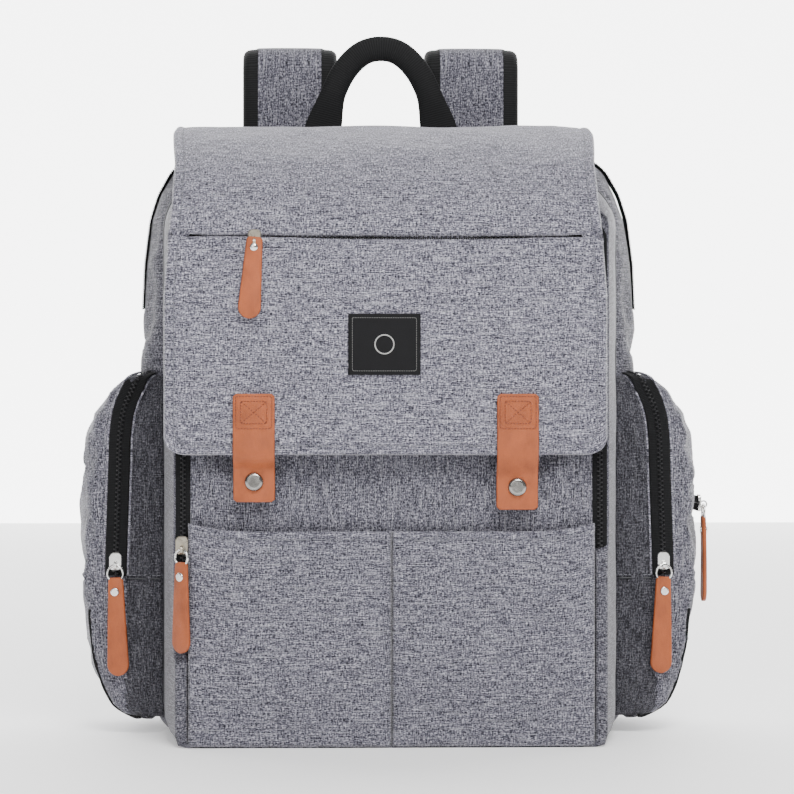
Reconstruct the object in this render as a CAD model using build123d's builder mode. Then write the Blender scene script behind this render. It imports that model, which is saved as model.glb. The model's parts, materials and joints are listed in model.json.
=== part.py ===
from build123d import *
import os

os.makedirs("parts", exist_ok=True)

# Diaper backpack. +Z up, the front faces -Y, the origin is the middle of the base it stands on.
# Millimetres. Every "depth" below is measured backwards from the cloth of the front pockets.

# ---------------------------------------------------------------- driving dimensions
front_y = -95.0  # the plane of the front pockets' cloth
wall = 2.5  # laminated cloth, foam and lining
seam_gap = 0.4  # air left between pieces that are sewn together

divider_depth = 62.0  # where the front compartment ends and the main one begins
main_depth = 186.0  # the back of the main compartment
main_half_width = 166.0
mouth_height = 392.0

panel_half_width = 129.8
pocket_height = 139.0  # the mouths of the two front pockets
pocket_half_width = 129.8
panel_depth = 7.0  # how far the front panel lies behind the pockets' cloth
panel_top = 331.0
front_zip_foot = {"left": 61.0, "right": 128.0}
tape = 1.2  # thickness of a zip's tape
main_zip_depth = 97.0
main_zip_foot = 285.0
sleeve_size = (84.0, 44.0, 172.0)  # width, depth and height of a bottle sleeve
sleeve_spacing = 87.0
sleeve_depth = 37.0  # the middle of the sleeves

flap_x = -4.0  # the flap, straps and handle are sewn a little left of the front panel
flap_half_width = 141.0
flap_thickness = 5.0
flap_front_depth = -8.0  # the outer face of the hanging part
flap_bottom = 188.0
flap_fold_depth = 9.5
flap_fold_height = 361.3
flap_seam_depth = 187.0
flap_seam_height = 411.0
placket_height = 329.0
placket_half_length = 129.0
flap_zip_depth = -7.1  # the face of the flap zip's tape

tab_reach = 84.0  # the tabs' distance from the flap's middle
tab_width = 26.6
tab_top = 227.0
tab_fold = 202.7
leather = 2.4
tab_foot = {"left": 158.0, "right": 153.0}
snap_height = {"left": 171.0, "right": 167.5}
snap_radius = 6.0
tongue_seat = -2.0  # the depth of a tongue's back where it lies on its stud

side_front_depth = 62.4
side_back_depth = 165.0
side_inner_x = 167.4
# height above the floor and how far out the pocket's cloth stands there
side_bulge = [(12, 176), (30, 191), (62, 202.5), (110, 207), (160, 207), (200, 202.5), (226, 189), (238, 177)]
side_zip_x = 179.0
side_zip_top = 232.0
side_zip_foot = 26.0
tissue_x = 207.5  # the outer face of the right pocket
tissue_front = 84.0
tissue_rear = 146.0
tissue_height = 153.0

strap_reach = 66.0
strap_width = 68.0
strap_thickness = 12.0
strap_fold_height = 480.5  # the top of the fold
strap_fold_gap = 27.0  # from the rising leg to the hanging one
riser_foot = 372.0
strap_bend = 300.0  # below this the strap curves in towards the bag
strap_foot = 168.0
strap_curve = 15.0  # how far in its foot comes
buckle_size = (40.0, 30.0, 6.0)
buckle_height = 146.0
webbing_size = (25.0, 1.8)
pad_thickness = 12.0
pad_half_width = 126.0

handle_thickness = 9.0
handle_foot = 412.0
handle_top = 486.0
handle_outer = (57.0, 48.0, 28.0)  # half widths at the foot, above it and at the shoulder
handle_inner = (30.0, 26.0, 18.0)
handle_band = 20.0  # the band's height at its top

ring_radius = 5.2
ring_wire = 0.75


# ---------------------------------------------------------------- helpers
def back(depth):
    """The Y of something this far behind the front pockets' cloth."""
    return front_y + depth


def save(builder, name):
    builder.part.label = name
    export_step(builder.part, f"parts/{name}.step")


def facing(x, depth, height, turn=0.0):
    """A plane whose x runs to the right, y up and z out of the bag, turned about the vertical."""
    across = Vector(1, 0, 0).rotate(Axis.Z, turn)
    outward = Vector(0, -1, 0).rotate(Axis.Z, turn)
    return Plane(origin=(x, back(depth), height), x_dir=across, z_dir=outward)


def upright_plane(depth):
    """The XZ plane at this depth, with x to the right and y up."""
    return Plane(origin=(0, back(depth), 0), x_dir=(1, 0, 0), z_dir=(0, -1, 0))


def slab(name, x_range, depth_range, z_range, radius=0.0):
    """A flat upright piece of cloth, board or foam, with rounded corners seen from the front."""
    width = x_range[1] - x_range[0]
    height = z_range[1] - z_range[0]
    middle = ((x_range[0] + x_range[1]) / 2, (z_range[0] + z_range[1]) / 2)
    with BuildPart() as piece:
        with BuildSketch(upright_plane(depth_range[1])):
            with Locations(middle):
                if radius:
                    RectangleRounded(width, height, radius)
                else:
                    Rectangle(width, height)
        extrude(amount=depth_range[1] - depth_range[0])
    save(piece, name)
    return piece


# ---------------------------------------------------------------- main compartment
# height, half width, front depth, back depth and corner radius of each level of the bag
main_levels = [
    (0, 150, divider_depth + 6, main_depth - 5, 20),
    (18, 159, divider_depth + 0.4, main_depth, 26),
    (130, 164, divider_depth + 0.4, main_depth, 26),
    (270, main_half_width, divider_depth + 0.4, main_depth, 26),
    (345, 157, divider_depth + 1, main_depth, 26),
    (378, 139, divider_depth + 8, main_depth - 2, 26),
    (mouth_height, 118, divider_depth + 18, main_depth - 6, 22),
]


def level_section(height, half_width, front, rear, radius, inset=0.0):
    with BuildSketch(Plane.XY.offset(height)) as section:
        with Locations((0, back((front + rear) / 2))):
            RectangleRounded(2 * (half_width - inset), rear - front - 2 * inset, radius - inset)
    return section.sketch


def make_main_compartment():
    inner_levels = [(wall, *main_levels[0][1:]), *main_levels[1:-1], (mouth_height + 1, *main_levels[-1][1:])]
    with BuildPart() as shell:
        loft([level_section(*level) for level in main_levels], ruled=True)
        loft([level_section(*level, inset=wall) for level in inner_levels], ruled=True, mode=Mode.SUBTRACT)
    save(shell, "main_compartment_shell")

    with BuildPart() as board:
        with BuildSketch(Plane.XY.offset(wall + seam_gap)):
            with Locations((0, back(124))):
                RectangleRounded(270, 96, 14)
        extrude(amount=3)
    save(board, "bottom_board")

    # The two strips that close the mouth, in front of and behind the main zip.
    with BuildPart() as gussets:
        with BuildSketch(Plane.XY.offset(mouth_height + seam_gap)):
            for front, rear in (
                (divider_depth + 19, main_zip_depth - 6.4),
                (main_zip_depth + 6.4, main_depth - 7),
            ):
                with Locations((0, back((front + rear) / 2))):
                    RectangleRounded(232, rear - front, 4)
        extrude(amount=2.2)
    save(gussets, "mouth_gussets")

    pad_depths = (main_depth + seam_gap, main_depth + pad_thickness)
    slab("back_panel_pad", (-pad_half_width, pad_half_width), pad_depths, (16, 394), 30)


def make_main_zip():
    """The tape crosses the mouth and runs down over both shoulders of the bag."""
    stand_off = 1.0
    shoulder = [(main_half_width - 2, main_zip_foot), (158, 343), (141, 378), (122, mouth_height + 0.2)]
    with BuildPart() as zip_tape:
        with BuildSketch(upright_plane(main_zip_depth + 6)):
            for side in (-1, 1):
                inner = [(side * (x + stand_off), z) for x, z in shoulder]
                outer = [(side * (x + stand_off + tape), z + 0.4) for x, z in shoulder]
                with BuildLine():
                    Spline(*inner)
                    Spline(*outer)
                    Line(inner[0], outer[0])
                    Line(inner[-1], outer[-1])
                make_face()
        extrude(amount=12)
        with BuildSketch(Plane.XY.offset(mouth_height + seam_gap)):
            with Locations((0, back(main_zip_depth))):
                Rectangle(236, 12)
        extrude(amount=tape)
    save(zip_tape, "main_zip_tape")


# ---------------------------------------------------------------- front compartment
def ring_section(depth, half_width, height, inset):
    with BuildSketch(upright_plane(depth)) as section:
        with Locations((0, height / 2)):
            RectangleRounded(2 * (half_width - inset), height - 2 * inset, 8 - inset)
    return section.sketch


def make_front_compartment():
    front_ring = (panel_depth + 0.2, 139.6, 345.0)
    rear_ring = (divider_depth - seam_gap, 150.0, 374.0)
    with BuildPart() as gusset:
        for inset, mode in ((0, Mode.ADD), (wall, Mode.SUBTRACT)):
            loft([ring_section(*ring, inset) for ring in (front_ring, rear_ring)], mode=mode)
    save(gusset, "front_gusset")

    low = (3.2, pocket_height)
    slab("front_panel_lower", (-panel_half_width, panel_half_width), (panel_depth, panel_depth + wall), low)
    high = (pocket_height + 0.9, panel_top)
    slab("front_panel", (-panel_half_width, panel_half_width), (panel_depth, panel_depth + wall), high)

    # Each front pocket is sewn down at its sides and foot and open at the top.
    for name, left, right in (
        ("front_pocket_left", -pocket_half_width, -0.2),
        ("front_pocket_right", 0.2, pocket_half_width),
    ):
        cloth = 1.8
        with BuildPart() as pocket:
            with BuildSketch(upright_plane(panel_depth - 0.1)):
                with Locations(((left + right) / 2, (pocket_height + 0.6) / 2)):
                    Rectangle(right - left, pocket_height - 0.6)
            extrude(amount=panel_depth - 0.1)
            with BuildSketch(upright_plane(panel_depth)):
                with Locations(((left + right) / 2, (pocket_height + 3) / 2 + 1)):
                    Rectangle(right - left - 2 * cloth, pocket_height - 3 + 2)
            extrude(amount=panel_depth - cloth, mode=Mode.SUBTRACT)
        save(pocket, name)


def zip_arch(name, inner_half, outer_half, inner_top, foot, legs=()):
    """One half of the front zip's tape: up one side of the panel, across its top and down the other.

    Each leg is a wider strip that carries it further down: its side, its inner edge and its foot.
    """
    depth = panel_depth + 1.4
    overlap = 2.0
    outer_top = inner_top + outer_half - inner_half
    with BuildPart() as half:
        with BuildSketch(upright_plane(depth)):
            with Locations((0, (outer_top + foot) / 2)):
                Rectangle(2 * outer_half, outer_top - foot)
            with Locations((0, (inner_top + foot) / 2 - 1)):
                Rectangle(2 * inner_half, inner_top - foot + 2, mode=Mode.SUBTRACT)
            for side, leg_inner, leg_foot in legs:
                leg_top = foot + overlap
                with Locations((side * (leg_inner + outer_half) / 2, (leg_top + leg_foot) / 2)):
                    Rectangle(outer_half - leg_inner, leg_top - leg_foot)
        extrude(amount=tape)
    save(half, name)


def make_front_zip():
    split = 133.6
    edge = panel_half_width + 0.3
    zip_arch("front_zip_panel_tape", edge, split - 0.2, panel_top + 0.3, pocket_height + 0.9)
    legs = ((-1, edge, front_zip_foot["left"]), (1, edge, front_zip_foot["right"]))
    zip_arch("front_zip_gusset_tape", split + 0.2, 136.9, panel_top + 4.0, pocket_height - 1.8, legs)


def make_bottle_pockets():
    """Three insulated sleeves that stand side by side in the front compartment."""
    width, depth, height = sleeve_size
    corner = 16
    for place, step in (("left", -1), ("middle", 0), ("right", 1)):
        middle = (step * sleeve_spacing, back(sleeve_depth))
        with BuildPart() as sleeve:
            with BuildSketch(Plane.XY.offset(wall + seam_gap)):
                with Locations(middle):
                    RectangleRounded(width, depth, corner)
            extrude(amount=height)
            with BuildSketch(Plane.XY.offset(2 * wall + seam_gap)):
                with Locations(middle):
                    RectangleRounded(width - 2 * wall, depth - 2 * wall, corner - wall)
            extrude(amount=height, mode=Mode.SUBTRACT)
        save(sleeve, f"bottle_pocket_{place}")


# ---------------------------------------------------------------- flap
def make_flap():
    side_plane = Plane(origin=(flap_x - flap_half_width, 0, 0), x_dir=(0, 1, 0), z_dir=(1, 0, 0))
    with BuildPart() as flap_top:
        with BuildSketch(side_plane):
            with BuildLine():
                Spline(
                    (back(flap_seam_depth), flap_seam_height - 2),
                    (back(115), 408.5),
                    (back(60), 395),
                    (back(flap_fold_depth + 3.6), flap_fold_height + 4.2),
                )
            trace(line_width=4)
        extrude(amount=2 * flap_half_width)
    save(flap_top, "flap_top")

    middle = flap_front_depth + flap_thickness / 2
    with BuildPart() as flap_front:
        with BuildSketch(side_plane):
            with BuildLine():
                straight = Line((back(middle), flap_bottom), (back(middle), 336))
                TangentArc(
                    straight @ 1,
                    (back(flap_fold_depth - 3.6), flap_fold_height - 4.2),
                    tangent=straight % 1,
                )
            trace(line_width=flap_thickness)
        extrude(amount=2 * flap_half_width)
        # the slot under the placket's lip, where the flap's own zip lies
        with BuildSketch(upright_plane(flap_zip_depth + 0.9)):
            with Locations((flap_x, placket_height - 3.5)):
                Rectangle(2 * placket_half_length, 7)
        extrude(amount=10, mode=Mode.SUBTRACT)
    save(flap_front, "flap_front")

    slab(
        "flap_zip_tape",
        (flap_x - placket_half_length + 0.4, flap_x + placket_half_length - 0.4),
        (flap_zip_depth, flap_zip_depth + 0.8),
        (placket_height - 6.6, placket_height - 0.4),
    )
    slab("label", (-28, 18), (flap_front_depth - 0.9, flap_front_depth - 0.1), (239, 278), 1.0)


def make_tabs():
    """Leather tabs: the stitched part stays on the flap, the tongue below it lifts off its snap."""
    outer = flap_front_depth - leather - 0.2
    for side, reach in (("left", -tab_reach), ("right", tab_reach)):
        x = flap_x + reach
        edges = (x - tab_width / 2, x + tab_width / 2)
        slab(f"{side}_tab_anchor", edges, (outer, outer + leather), (tab_fold + 0.4, tab_top), 1.5)

        foot = tab_foot[side]
        snap = snap_height[side]
        seat = tongue_seat
        side_plane = Plane(origin=(edges[0], 0, 0), x_dir=(0, 1, 0), z_dir=(1, 0, 0))
        with BuildPart() as tongue:
            with BuildSketch(side_plane):
                with BuildLine():
                    FilletPolyline(
                        (back(outer + leather / 2), tab_fold),
                        (back(outer + leather / 2), flap_bottom - 1.5),
                        (back(seat - leather / 2), snap + 8),
                        (back(seat - leather / 2), foot),
                        radius=6,
                    )
                trace(line_width=leather)
            extrude(amount=tab_width)
            foot_edges = tongue.edges().filter_by(Axis.Y).group_by(Axis.Z)[0]
            fillet(foot_edges, 2.5)
            with BuildSketch(facing(x, seat + 1, snap)):
                Circle(1.6)
            extrude(amount=leather + 2, mode=Mode.SUBTRACT)
        save(tongue, f"{side}_tab_tongue")

        # The press snap: a domed cap outside, its socket behind the leather.
        with BuildPart() as cap:
            with BuildSketch(facing(x, seat - leather - 0.02, snap)):
                Circle(snap_radius)
            extrude(amount=2.6)
            fillet(cap.faces().sort_by(Axis.Y)[0].edges(), 2.3)
            with BuildSketch(facing(x, seat - leather - 0.5, snap)):
                Circle(1.5)
            extrude(amount=-(leather + 1))
            with BuildSketch(facing(x, seat + 1.9, snap)):
                Circle(4.6)
            extrude(amount=1.88)
            with BuildSketch(facing(x, seat + 1.9, snap)):
                Circle(2.8)
            extrude(amount=1.2, mode=Mode.SUBTRACT)
        save(cap, f"{side}_snap_cap")

    # The snaps' studs stand on the front panel, behind the tongues.
    with BuildPart() as studs:
        for side, reach in (("left", -tab_reach), ("right", tab_reach)):
            with BuildSketch(facing(flap_x + reach, panel_depth - 0.1, snap_height[side])):
                Circle(5.4)
            extrude(amount=panel_depth - 0.1 - tongue_seat - 2.3)
            with BuildSketch(facing(flap_x + reach, tongue_seat + 2.3, snap_height[side])):
                Circle(1.7)
            extrude(amount=1.0)
    save(studs, "snap_studs")


# ---------------------------------------------------------------- side pockets
def side_section(height, reach, side, inset=0.0):
    """One level of a side pocket: straight against the bag, rounded outside."""
    width = reach - side_inner_x - 2 * inset
    length = side_back_depth - side_front_depth - 2 * inset
    with BuildSketch(Plane.XY.offset(height)) as section:
        with Locations((side * (side_inner_x + reach) / 2, back((side_front_depth + side_back_depth) / 2))):
            Rectangle(width, length)
        outer_corners = section.vertices().group_by(Axis.X)[-1 if side > 0 else 0]
        fillet(outer_corners, 0.72 * width)
    return section.sketch


def make_side_pockets():
    for name, side in (("left", -1), ("right", 1)):
        foot, crown = side_bulge[0], side_bulge[-1]
        inner_bulge = [(foot[0] + wall, foot[1] + 3), *side_bulge[1:-1], (crown[0] - wall, crown[1] + 3)]
        with BuildPart() as shell:
            loft([side_section(*level, side) for level in side_bulge])
            loft([side_section(*level, side, inset=wall) for level in inner_bulge], mode=Mode.SUBTRACT)
            # the front is open where the pocket's cloth and zip close it
            with BuildSketch(upright_plane(side_front_depth + wall + 0.1)):
                with Locations((side * (side_inner_x + 11), (side_zip_foot + side_zip_top) / 2)):
                    Rectangle(17, side_zip_top - side_zip_foot)
            extrude(amount=wall + 1, mode=Mode.SUBTRACT)
        save(shell, f"{name}_pocket_shell")

        cloth_edges = sorted((side * 151.5, side * (side_zip_x - 6.4)))
        slab(f"{name}_pocket_front", cloth_edges, (side_front_depth - 2.6, side_front_depth - 0.4), (15, 232), 4)
        tape_edges = sorted((side * (side_zip_x - 6.0), side * (side_zip_x + 6.0)))
        tape_depths = (side_front_depth - 1.6, side_front_depth - 0.4)
        slab(f"{name}_pocket_zip_tape", tape_edges, tape_depths, (side_zip_foot, side_zip_top), 3)

    with BuildPart() as tissue_tape:
        with BuildSketch(facing(tissue_x, (tissue_front + tissue_rear) / 2, tissue_height, 90)):
            RectangleRounded(tissue_rear - tissue_front, 11, 2)
        extrude(amount=tape)
    save(tissue_tape, "tissue_zip_tape")


# ---------------------------------------------------------------- sliders and pulls
def make_slider(name, tape_plane, hinge_plane, eye):
    """A zip slider: a block over the teeth, with an upright lug that holds the pull's ring.

    tape_plane lies on the tape's face under the slider, and hinge_plane at the middle of the lug's
    eye, which stands that far in front of the tape.
    """
    clear = 1.5
    height = 2.0
    root = eye - clear - height + 0.9
    with BuildPart() as slider:
        with BuildSketch(tape_plane.offset(clear)):
            RectangleRounded(8.4, 11.5, 2.6)
        extrude(amount=height)
        chamfer(slider.faces().sort_by(Axis(tape_plane.origin, tape_plane.z_dir))[-1].edges(), 0.6)
        lug_plane = Plane(origin=hinge_plane.origin, x_dir=tape_plane.z_dir, z_dir=tape_plane.x_dir)
        with BuildSketch(lug_plane.offset(-0.8)):
            Circle(2.7)
            with Locations((-root / 2, 0)):
                Rectangle(root, 4.6)
            Circle(1.7, mode=Mode.SUBTRACT)
        extrude(amount=1.6)
    save(slider, name)


def make_pull(name, hinge_plane, length):
    """A leather pull folded over a ring and closed with a rivet, hanging from the slider's lug."""
    thickness = 3.0
    top = ring_radius * 2 - 2.4
    rivet_drop = 2 * ring_radius + 7.0
    foot_radius = 7.3
    with BuildPart() as leather_pull:
        with BuildSketch(hinge_plane.offset(-thickness / 2)):
            with BuildLine():
                shoulder = Polyline(
                    (-foot_radius, -length + foot_radius),
                    (-5.0, -top),
                    (5.0, -top),
                    (foot_radius, -length + foot_radius),
                )
                ThreePointArc(shoulder @ 1, (0, -length), shoulder @ 0)
            make_face()
        extrude(amount=thickness)
        with BuildSketch(hinge_plane.offset(-thickness)):
            with Locations((0, -rivet_drop)):
                Circle(1.1)
        extrude(amount=2 * thickness, mode=Mode.SUBTRACT)
        with Locations(hinge_plane):
            with Locations((0, -ring_radius)):
                Torus(ring_radius, ring_wire + 0.35, mode=Mode.SUBTRACT)
    save(leather_pull, f"{name}_pull")

    with BuildPart() as metal:
        with Locations(hinge_plane):
            with Locations((0, -ring_radius)):
                Torus(ring_radius, ring_wire)
        with BuildSketch(hinge_plane.offset(-thickness / 2 - 0.5)):
            with Locations((0, -rivet_drop)):
                Circle(2.4)
        extrude(amount=0.5)
        with BuildSketch(hinge_plane.offset(-thickness / 2)):
            with Locations((0, -rivet_drop)):
                Circle(1.1)
        extrude(amount=thickness)
        with BuildSketch(hinge_plane.offset(thickness / 2)):
            with Locations((0, -rivet_drop)):
                Circle(2.9)
        extrude(amount=1.1)
        rivet_face = metal.faces().sort_by(Axis(hinge_plane.origin, hinge_plane.z_dir))[-1]
        fillet(rivet_face.edges(), 0.9)
    save(metal, f"{name}_pull_metal")


def make_zip_hardware():
    """Each slider sits over its own tape, and its pull hangs from the eye in front of it."""
    for name, x, depth, height, twist, eye, length in (
        ("flap_zip", flap_x - 83.5, flap_zip_depth, placket_height - 3.4, 0, 5.4, 48.5),
        ("front_zip", -134.4, panel_depth + 0.2, 130.0, -38, 8.2, 66.0),
        ("left_pocket", -side_zip_x - 3, side_front_depth - 1.6, 116.0, -6, 5.4, 73.0),
        ("right_pocket", side_zip_x + 3, side_front_depth - 1.6, 116.0, 6, 5.4, 72.0),
    ):
        tape_plane = facing(x, depth, height)
        hinge_plane = facing(x, depth - eye, height - 2.5, twist)
        make_slider(f"{name}_slider", tape_plane, hinge_plane, eye)
        make_pull(name, hinge_plane, length)

    eye = 5.4
    tape_plane = facing(tissue_x + tape, tissue_front + 9, tissue_height, 90)
    hinge_plane = facing(tissue_x + tape + eye, tissue_front + 9, tissue_height - 1.0, 90)
    make_slider("tissue_zip_slider", tape_plane, hinge_plane, eye)
    make_pull("tissue_zip", hinge_plane, 66.0)

    # The main zip's slider lies on its side under the flap, its pull flat on the mouth.
    tape_plane = Plane(
        origin=(40, back(main_zip_depth), mouth_height + seam_gap + tape), x_dir=(0, 1, 0), z_dir=(0, 0, 1)
    )
    with BuildPart() as slider:
        with BuildSketch(tape_plane.offset(0.9)):
            RectangleRounded(8.4, 11.5, 2.6)
        extrude(amount=2.0)
        fillet(slider.faces().sort_by(Axis.Z)[-1].edges(), 0.7)
    save(slider, "main_zip_slider")
    with BuildPart() as flat_pull:
        with BuildSketch(tape_plane.offset(1.0)):
            with Locations((0, -27)):
                SlotCenterToCenter(22, 10, rotation=90)
        extrude(amount=1.6)
    save(flat_pull, "main_zip_pull")


# ---------------------------------------------------------------- straps and handle
def make_straps():
    """Each padded strap rises from the top of the back, folds over and hangs down behind the bag."""
    riser_depth = main_depth + pad_thickness + 0.8 + strap_thickness / 2
    hang_depth = riser_depth + strap_fold_gap
    fold_radius = (hang_depth - riser_depth) / 2
    spring_line = strap_fold_height - strap_thickness / 2 - fold_radius
    top = (back(riser_depth + fold_radius), spring_line + fold_radius)
    for side, reach in (("left", -strap_reach), ("right", strap_reach)):
        x = flap_x + reach
        outward = -1 if side == "left" else 1
        side_plane = Plane(origin=(x - strap_width / 2, 0, 0), x_dir=(0, 1, 0), z_dir=(1, 0, 0))
        with BuildPart() as riser:
            with BuildSketch(side_plane):
                with BuildLine():
                    rise = Line((back(riser_depth), riser_foot), (back(riser_depth), spring_line))
                    TangentArc(rise @ 1, (top[0] - 0.6, top[1]), tangent=rise % 1)
                trace(line_width=strap_thickness)
            extrude(amount=strap_width)
        save(riser, f"{side}_strap_riser")

        with BuildPart() as strap:
            with BuildSketch(side_plane):
                with BuildLine():
                    arch = TangentArc(
                        (top[0] + 0.6, top[1]), (back(hang_depth), spring_line), tangent=(1, 0)
                    )
                    drop = Line(arch @ 1, (back(hang_depth), strap_bend))
                    TangentArc(drop @ 1, (back(hang_depth - strap_curve), strap_foot), tangent=drop % 1)
                trace(line_width=strap_thickness)
            extrude(amount=strap_width)
        save(strap, f"{side}_shoulder_strap")

        with BuildPart() as buckle:
            width, height, thickness = buckle_size
            with BuildSketch(facing(x, hang_depth - strap_curve + 2, buckle_height)):
                RectangleRounded(width, height, 4)
                for bar in (-7, 7):
                    with Locations((0, bar)):
                        SlotOverall(30, 5, mode=Mode.SUBTRACT)
            extrude(amount=thickness)
            fillet(buckle.faces().filter_by(Axis.Y).edges(), 1.0)
        save(buckle, f"{side}_strap_buckle")

        # The webbing runs from the buckle down and out to the bottom corner of the back.
        high = Vector(x, back(hang_depth - 20), 128)
        low = Vector(x + outward * 34, back(main_depth + pad_thickness + 5), 24)
        run = low - high
        web_plane = Plane(origin=high, x_dir=Vector(run.Z, 0, -run.X).normalized(), z_dir=run.normalized())
        with BuildPart() as webbing:
            with BuildSketch(web_plane):
                Rectangle(*webbing_size)
            extrude(amount=run.length)
        save(webbing, f"{side}_strap_webbing")


def handle_outline(half_widths, top):
    """An arch as a closed outline: half widths at the foot, above the foot and at the shoulder."""
    foot, waist, shoulder = half_widths
    reach = top - handle_foot
    points = [
        (flap_x - foot, handle_foot),
        (flap_x - waist, handle_foot + 0.45 * reach),
        (flap_x - shoulder, handle_foot + 0.82 * reach),
        (flap_x, top),
        (flap_x + shoulder, handle_foot + 0.82 * reach),
        (flap_x + waist, handle_foot + 0.45 * reach),
        (flap_x + foot, handle_foot),
    ]
    with BuildSketch(upright_plane(main_depth + pad_thickness - 0.4)) as outline:
        with BuildLine():
            Spline(*points)
            Line(points[-1], points[0])
        make_face()
    return outline.sketch


def make_handle():
    depth = main_depth + pad_thickness - 0.4
    with BuildPart() as handle:
        extrude(handle_outline(handle_outer, handle_top), amount=handle_thickness)
        extrude(handle_outline(handle_inner, handle_top - handle_band), amount=handle_thickness, mode=Mode.SUBTRACT)
    save(handle, "handle")
    with BuildPart() as anchors:
        with BuildSketch(upright_plane(depth)):
            for side in (-1, 1):
                with Locations((flap_x + side * (handle_inner[0] + handle_outer[0]) / 2, handle_foot - 8.4)):
                    Rectangle(handle_outer[0] - handle_inner[0], 16)
        extrude(amount=5)
    save(anchors, "handle_anchors")


make_main_compartment()
make_main_zip()
make_front_compartment()
make_front_zip()
make_bottle_pockets()
make_flap()
make_tabs()
make_side_pockets()
make_zip_hardware()
make_straps()
make_handle()
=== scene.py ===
import json
import math

import bmesh
import bpy
import numpy as np
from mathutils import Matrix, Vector, noise


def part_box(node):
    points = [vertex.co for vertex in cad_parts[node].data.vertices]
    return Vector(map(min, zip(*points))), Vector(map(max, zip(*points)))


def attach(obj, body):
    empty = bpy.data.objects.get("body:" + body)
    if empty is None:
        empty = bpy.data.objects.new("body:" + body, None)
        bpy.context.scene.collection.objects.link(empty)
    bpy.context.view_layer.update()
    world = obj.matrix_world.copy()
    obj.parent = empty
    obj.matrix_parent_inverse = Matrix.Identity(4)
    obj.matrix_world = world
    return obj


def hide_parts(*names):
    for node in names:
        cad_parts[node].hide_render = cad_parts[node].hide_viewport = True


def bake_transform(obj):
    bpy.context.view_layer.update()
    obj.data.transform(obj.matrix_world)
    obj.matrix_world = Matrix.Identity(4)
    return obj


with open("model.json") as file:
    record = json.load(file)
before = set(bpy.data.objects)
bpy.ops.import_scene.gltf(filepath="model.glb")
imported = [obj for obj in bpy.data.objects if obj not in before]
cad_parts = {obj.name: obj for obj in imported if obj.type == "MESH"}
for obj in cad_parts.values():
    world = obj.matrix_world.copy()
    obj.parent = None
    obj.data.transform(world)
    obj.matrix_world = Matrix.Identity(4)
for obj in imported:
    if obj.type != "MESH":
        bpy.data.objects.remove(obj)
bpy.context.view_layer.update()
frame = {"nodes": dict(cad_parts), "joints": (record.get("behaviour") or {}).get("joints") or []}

# Everything below is worked out in millimetres as (x, depth, z), where depth is measured backwards
# from the cloth of the front pockets, and is turned into metres when a mesh is made.

MM = 0.001
FRONT_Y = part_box("front_pocket_left")[0][1] / MM
JOINTS = {joint["name"]: joint for joint in frame["joints"]}
FORWARD = (0, -1, 0)
UPWARD = (0, 0, 1)
ON_BAG = ("ride", "bag")
ON_FLAP = ("ride", "flap_front")


def span(node):
    """A node's lowest and highest corners as (x, depth, z), in millimetres."""
    low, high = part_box(node)
    offset = np.array([0, FRONT_Y, 0])
    return np.array(low) / MM - offset, np.array(high) / MM - offset


def joint_place(name):
    x, y, z = (value / MM for value in JOINTS[name]["pos_m"])
    return np.array([x, y - FRONT_Y, z])


# Sizes that several pieces share
CLOTH_THICKNESS = 1.6
MAIN_ZIP_DEPTH = 97.0
MAIN_ZIP_FOOT = 285
GUSSET_HEIGHT = 345
GUSSET_FRONT_HALF = 139.4
GUSSET_REAR_HALF = 150.0
FRONT_ZIP_DEPTH = 7.0
FLAP_FACE_DEPTH = -8.0
FLAP_LOW, FLAP_HIGH = span("flap_front")
FLAP_X = (FLAP_LOW[0] + FLAP_HIGH[0]) / 2
FLAP_HALF = (FLAP_HIGH[0] - FLAP_LOW[0]) / 2
FLAP_BOTTOM = FLAP_LOW[2]
FOLD = joint_place("flap_fold")
POCKET_TOP = span("front_pocket_left")[1][2]
PANEL_TOP = span("front_panel")[1][2]
ZIP_LIP = span("flap_zip_tape")[1][2] + 0.9  # the height of the placket's lower edge
ZIP_FEET = {-1: span("front_zip_gusset_tape")[0][2], 1: 128.0}  # the front zip's ends, left and right


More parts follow.
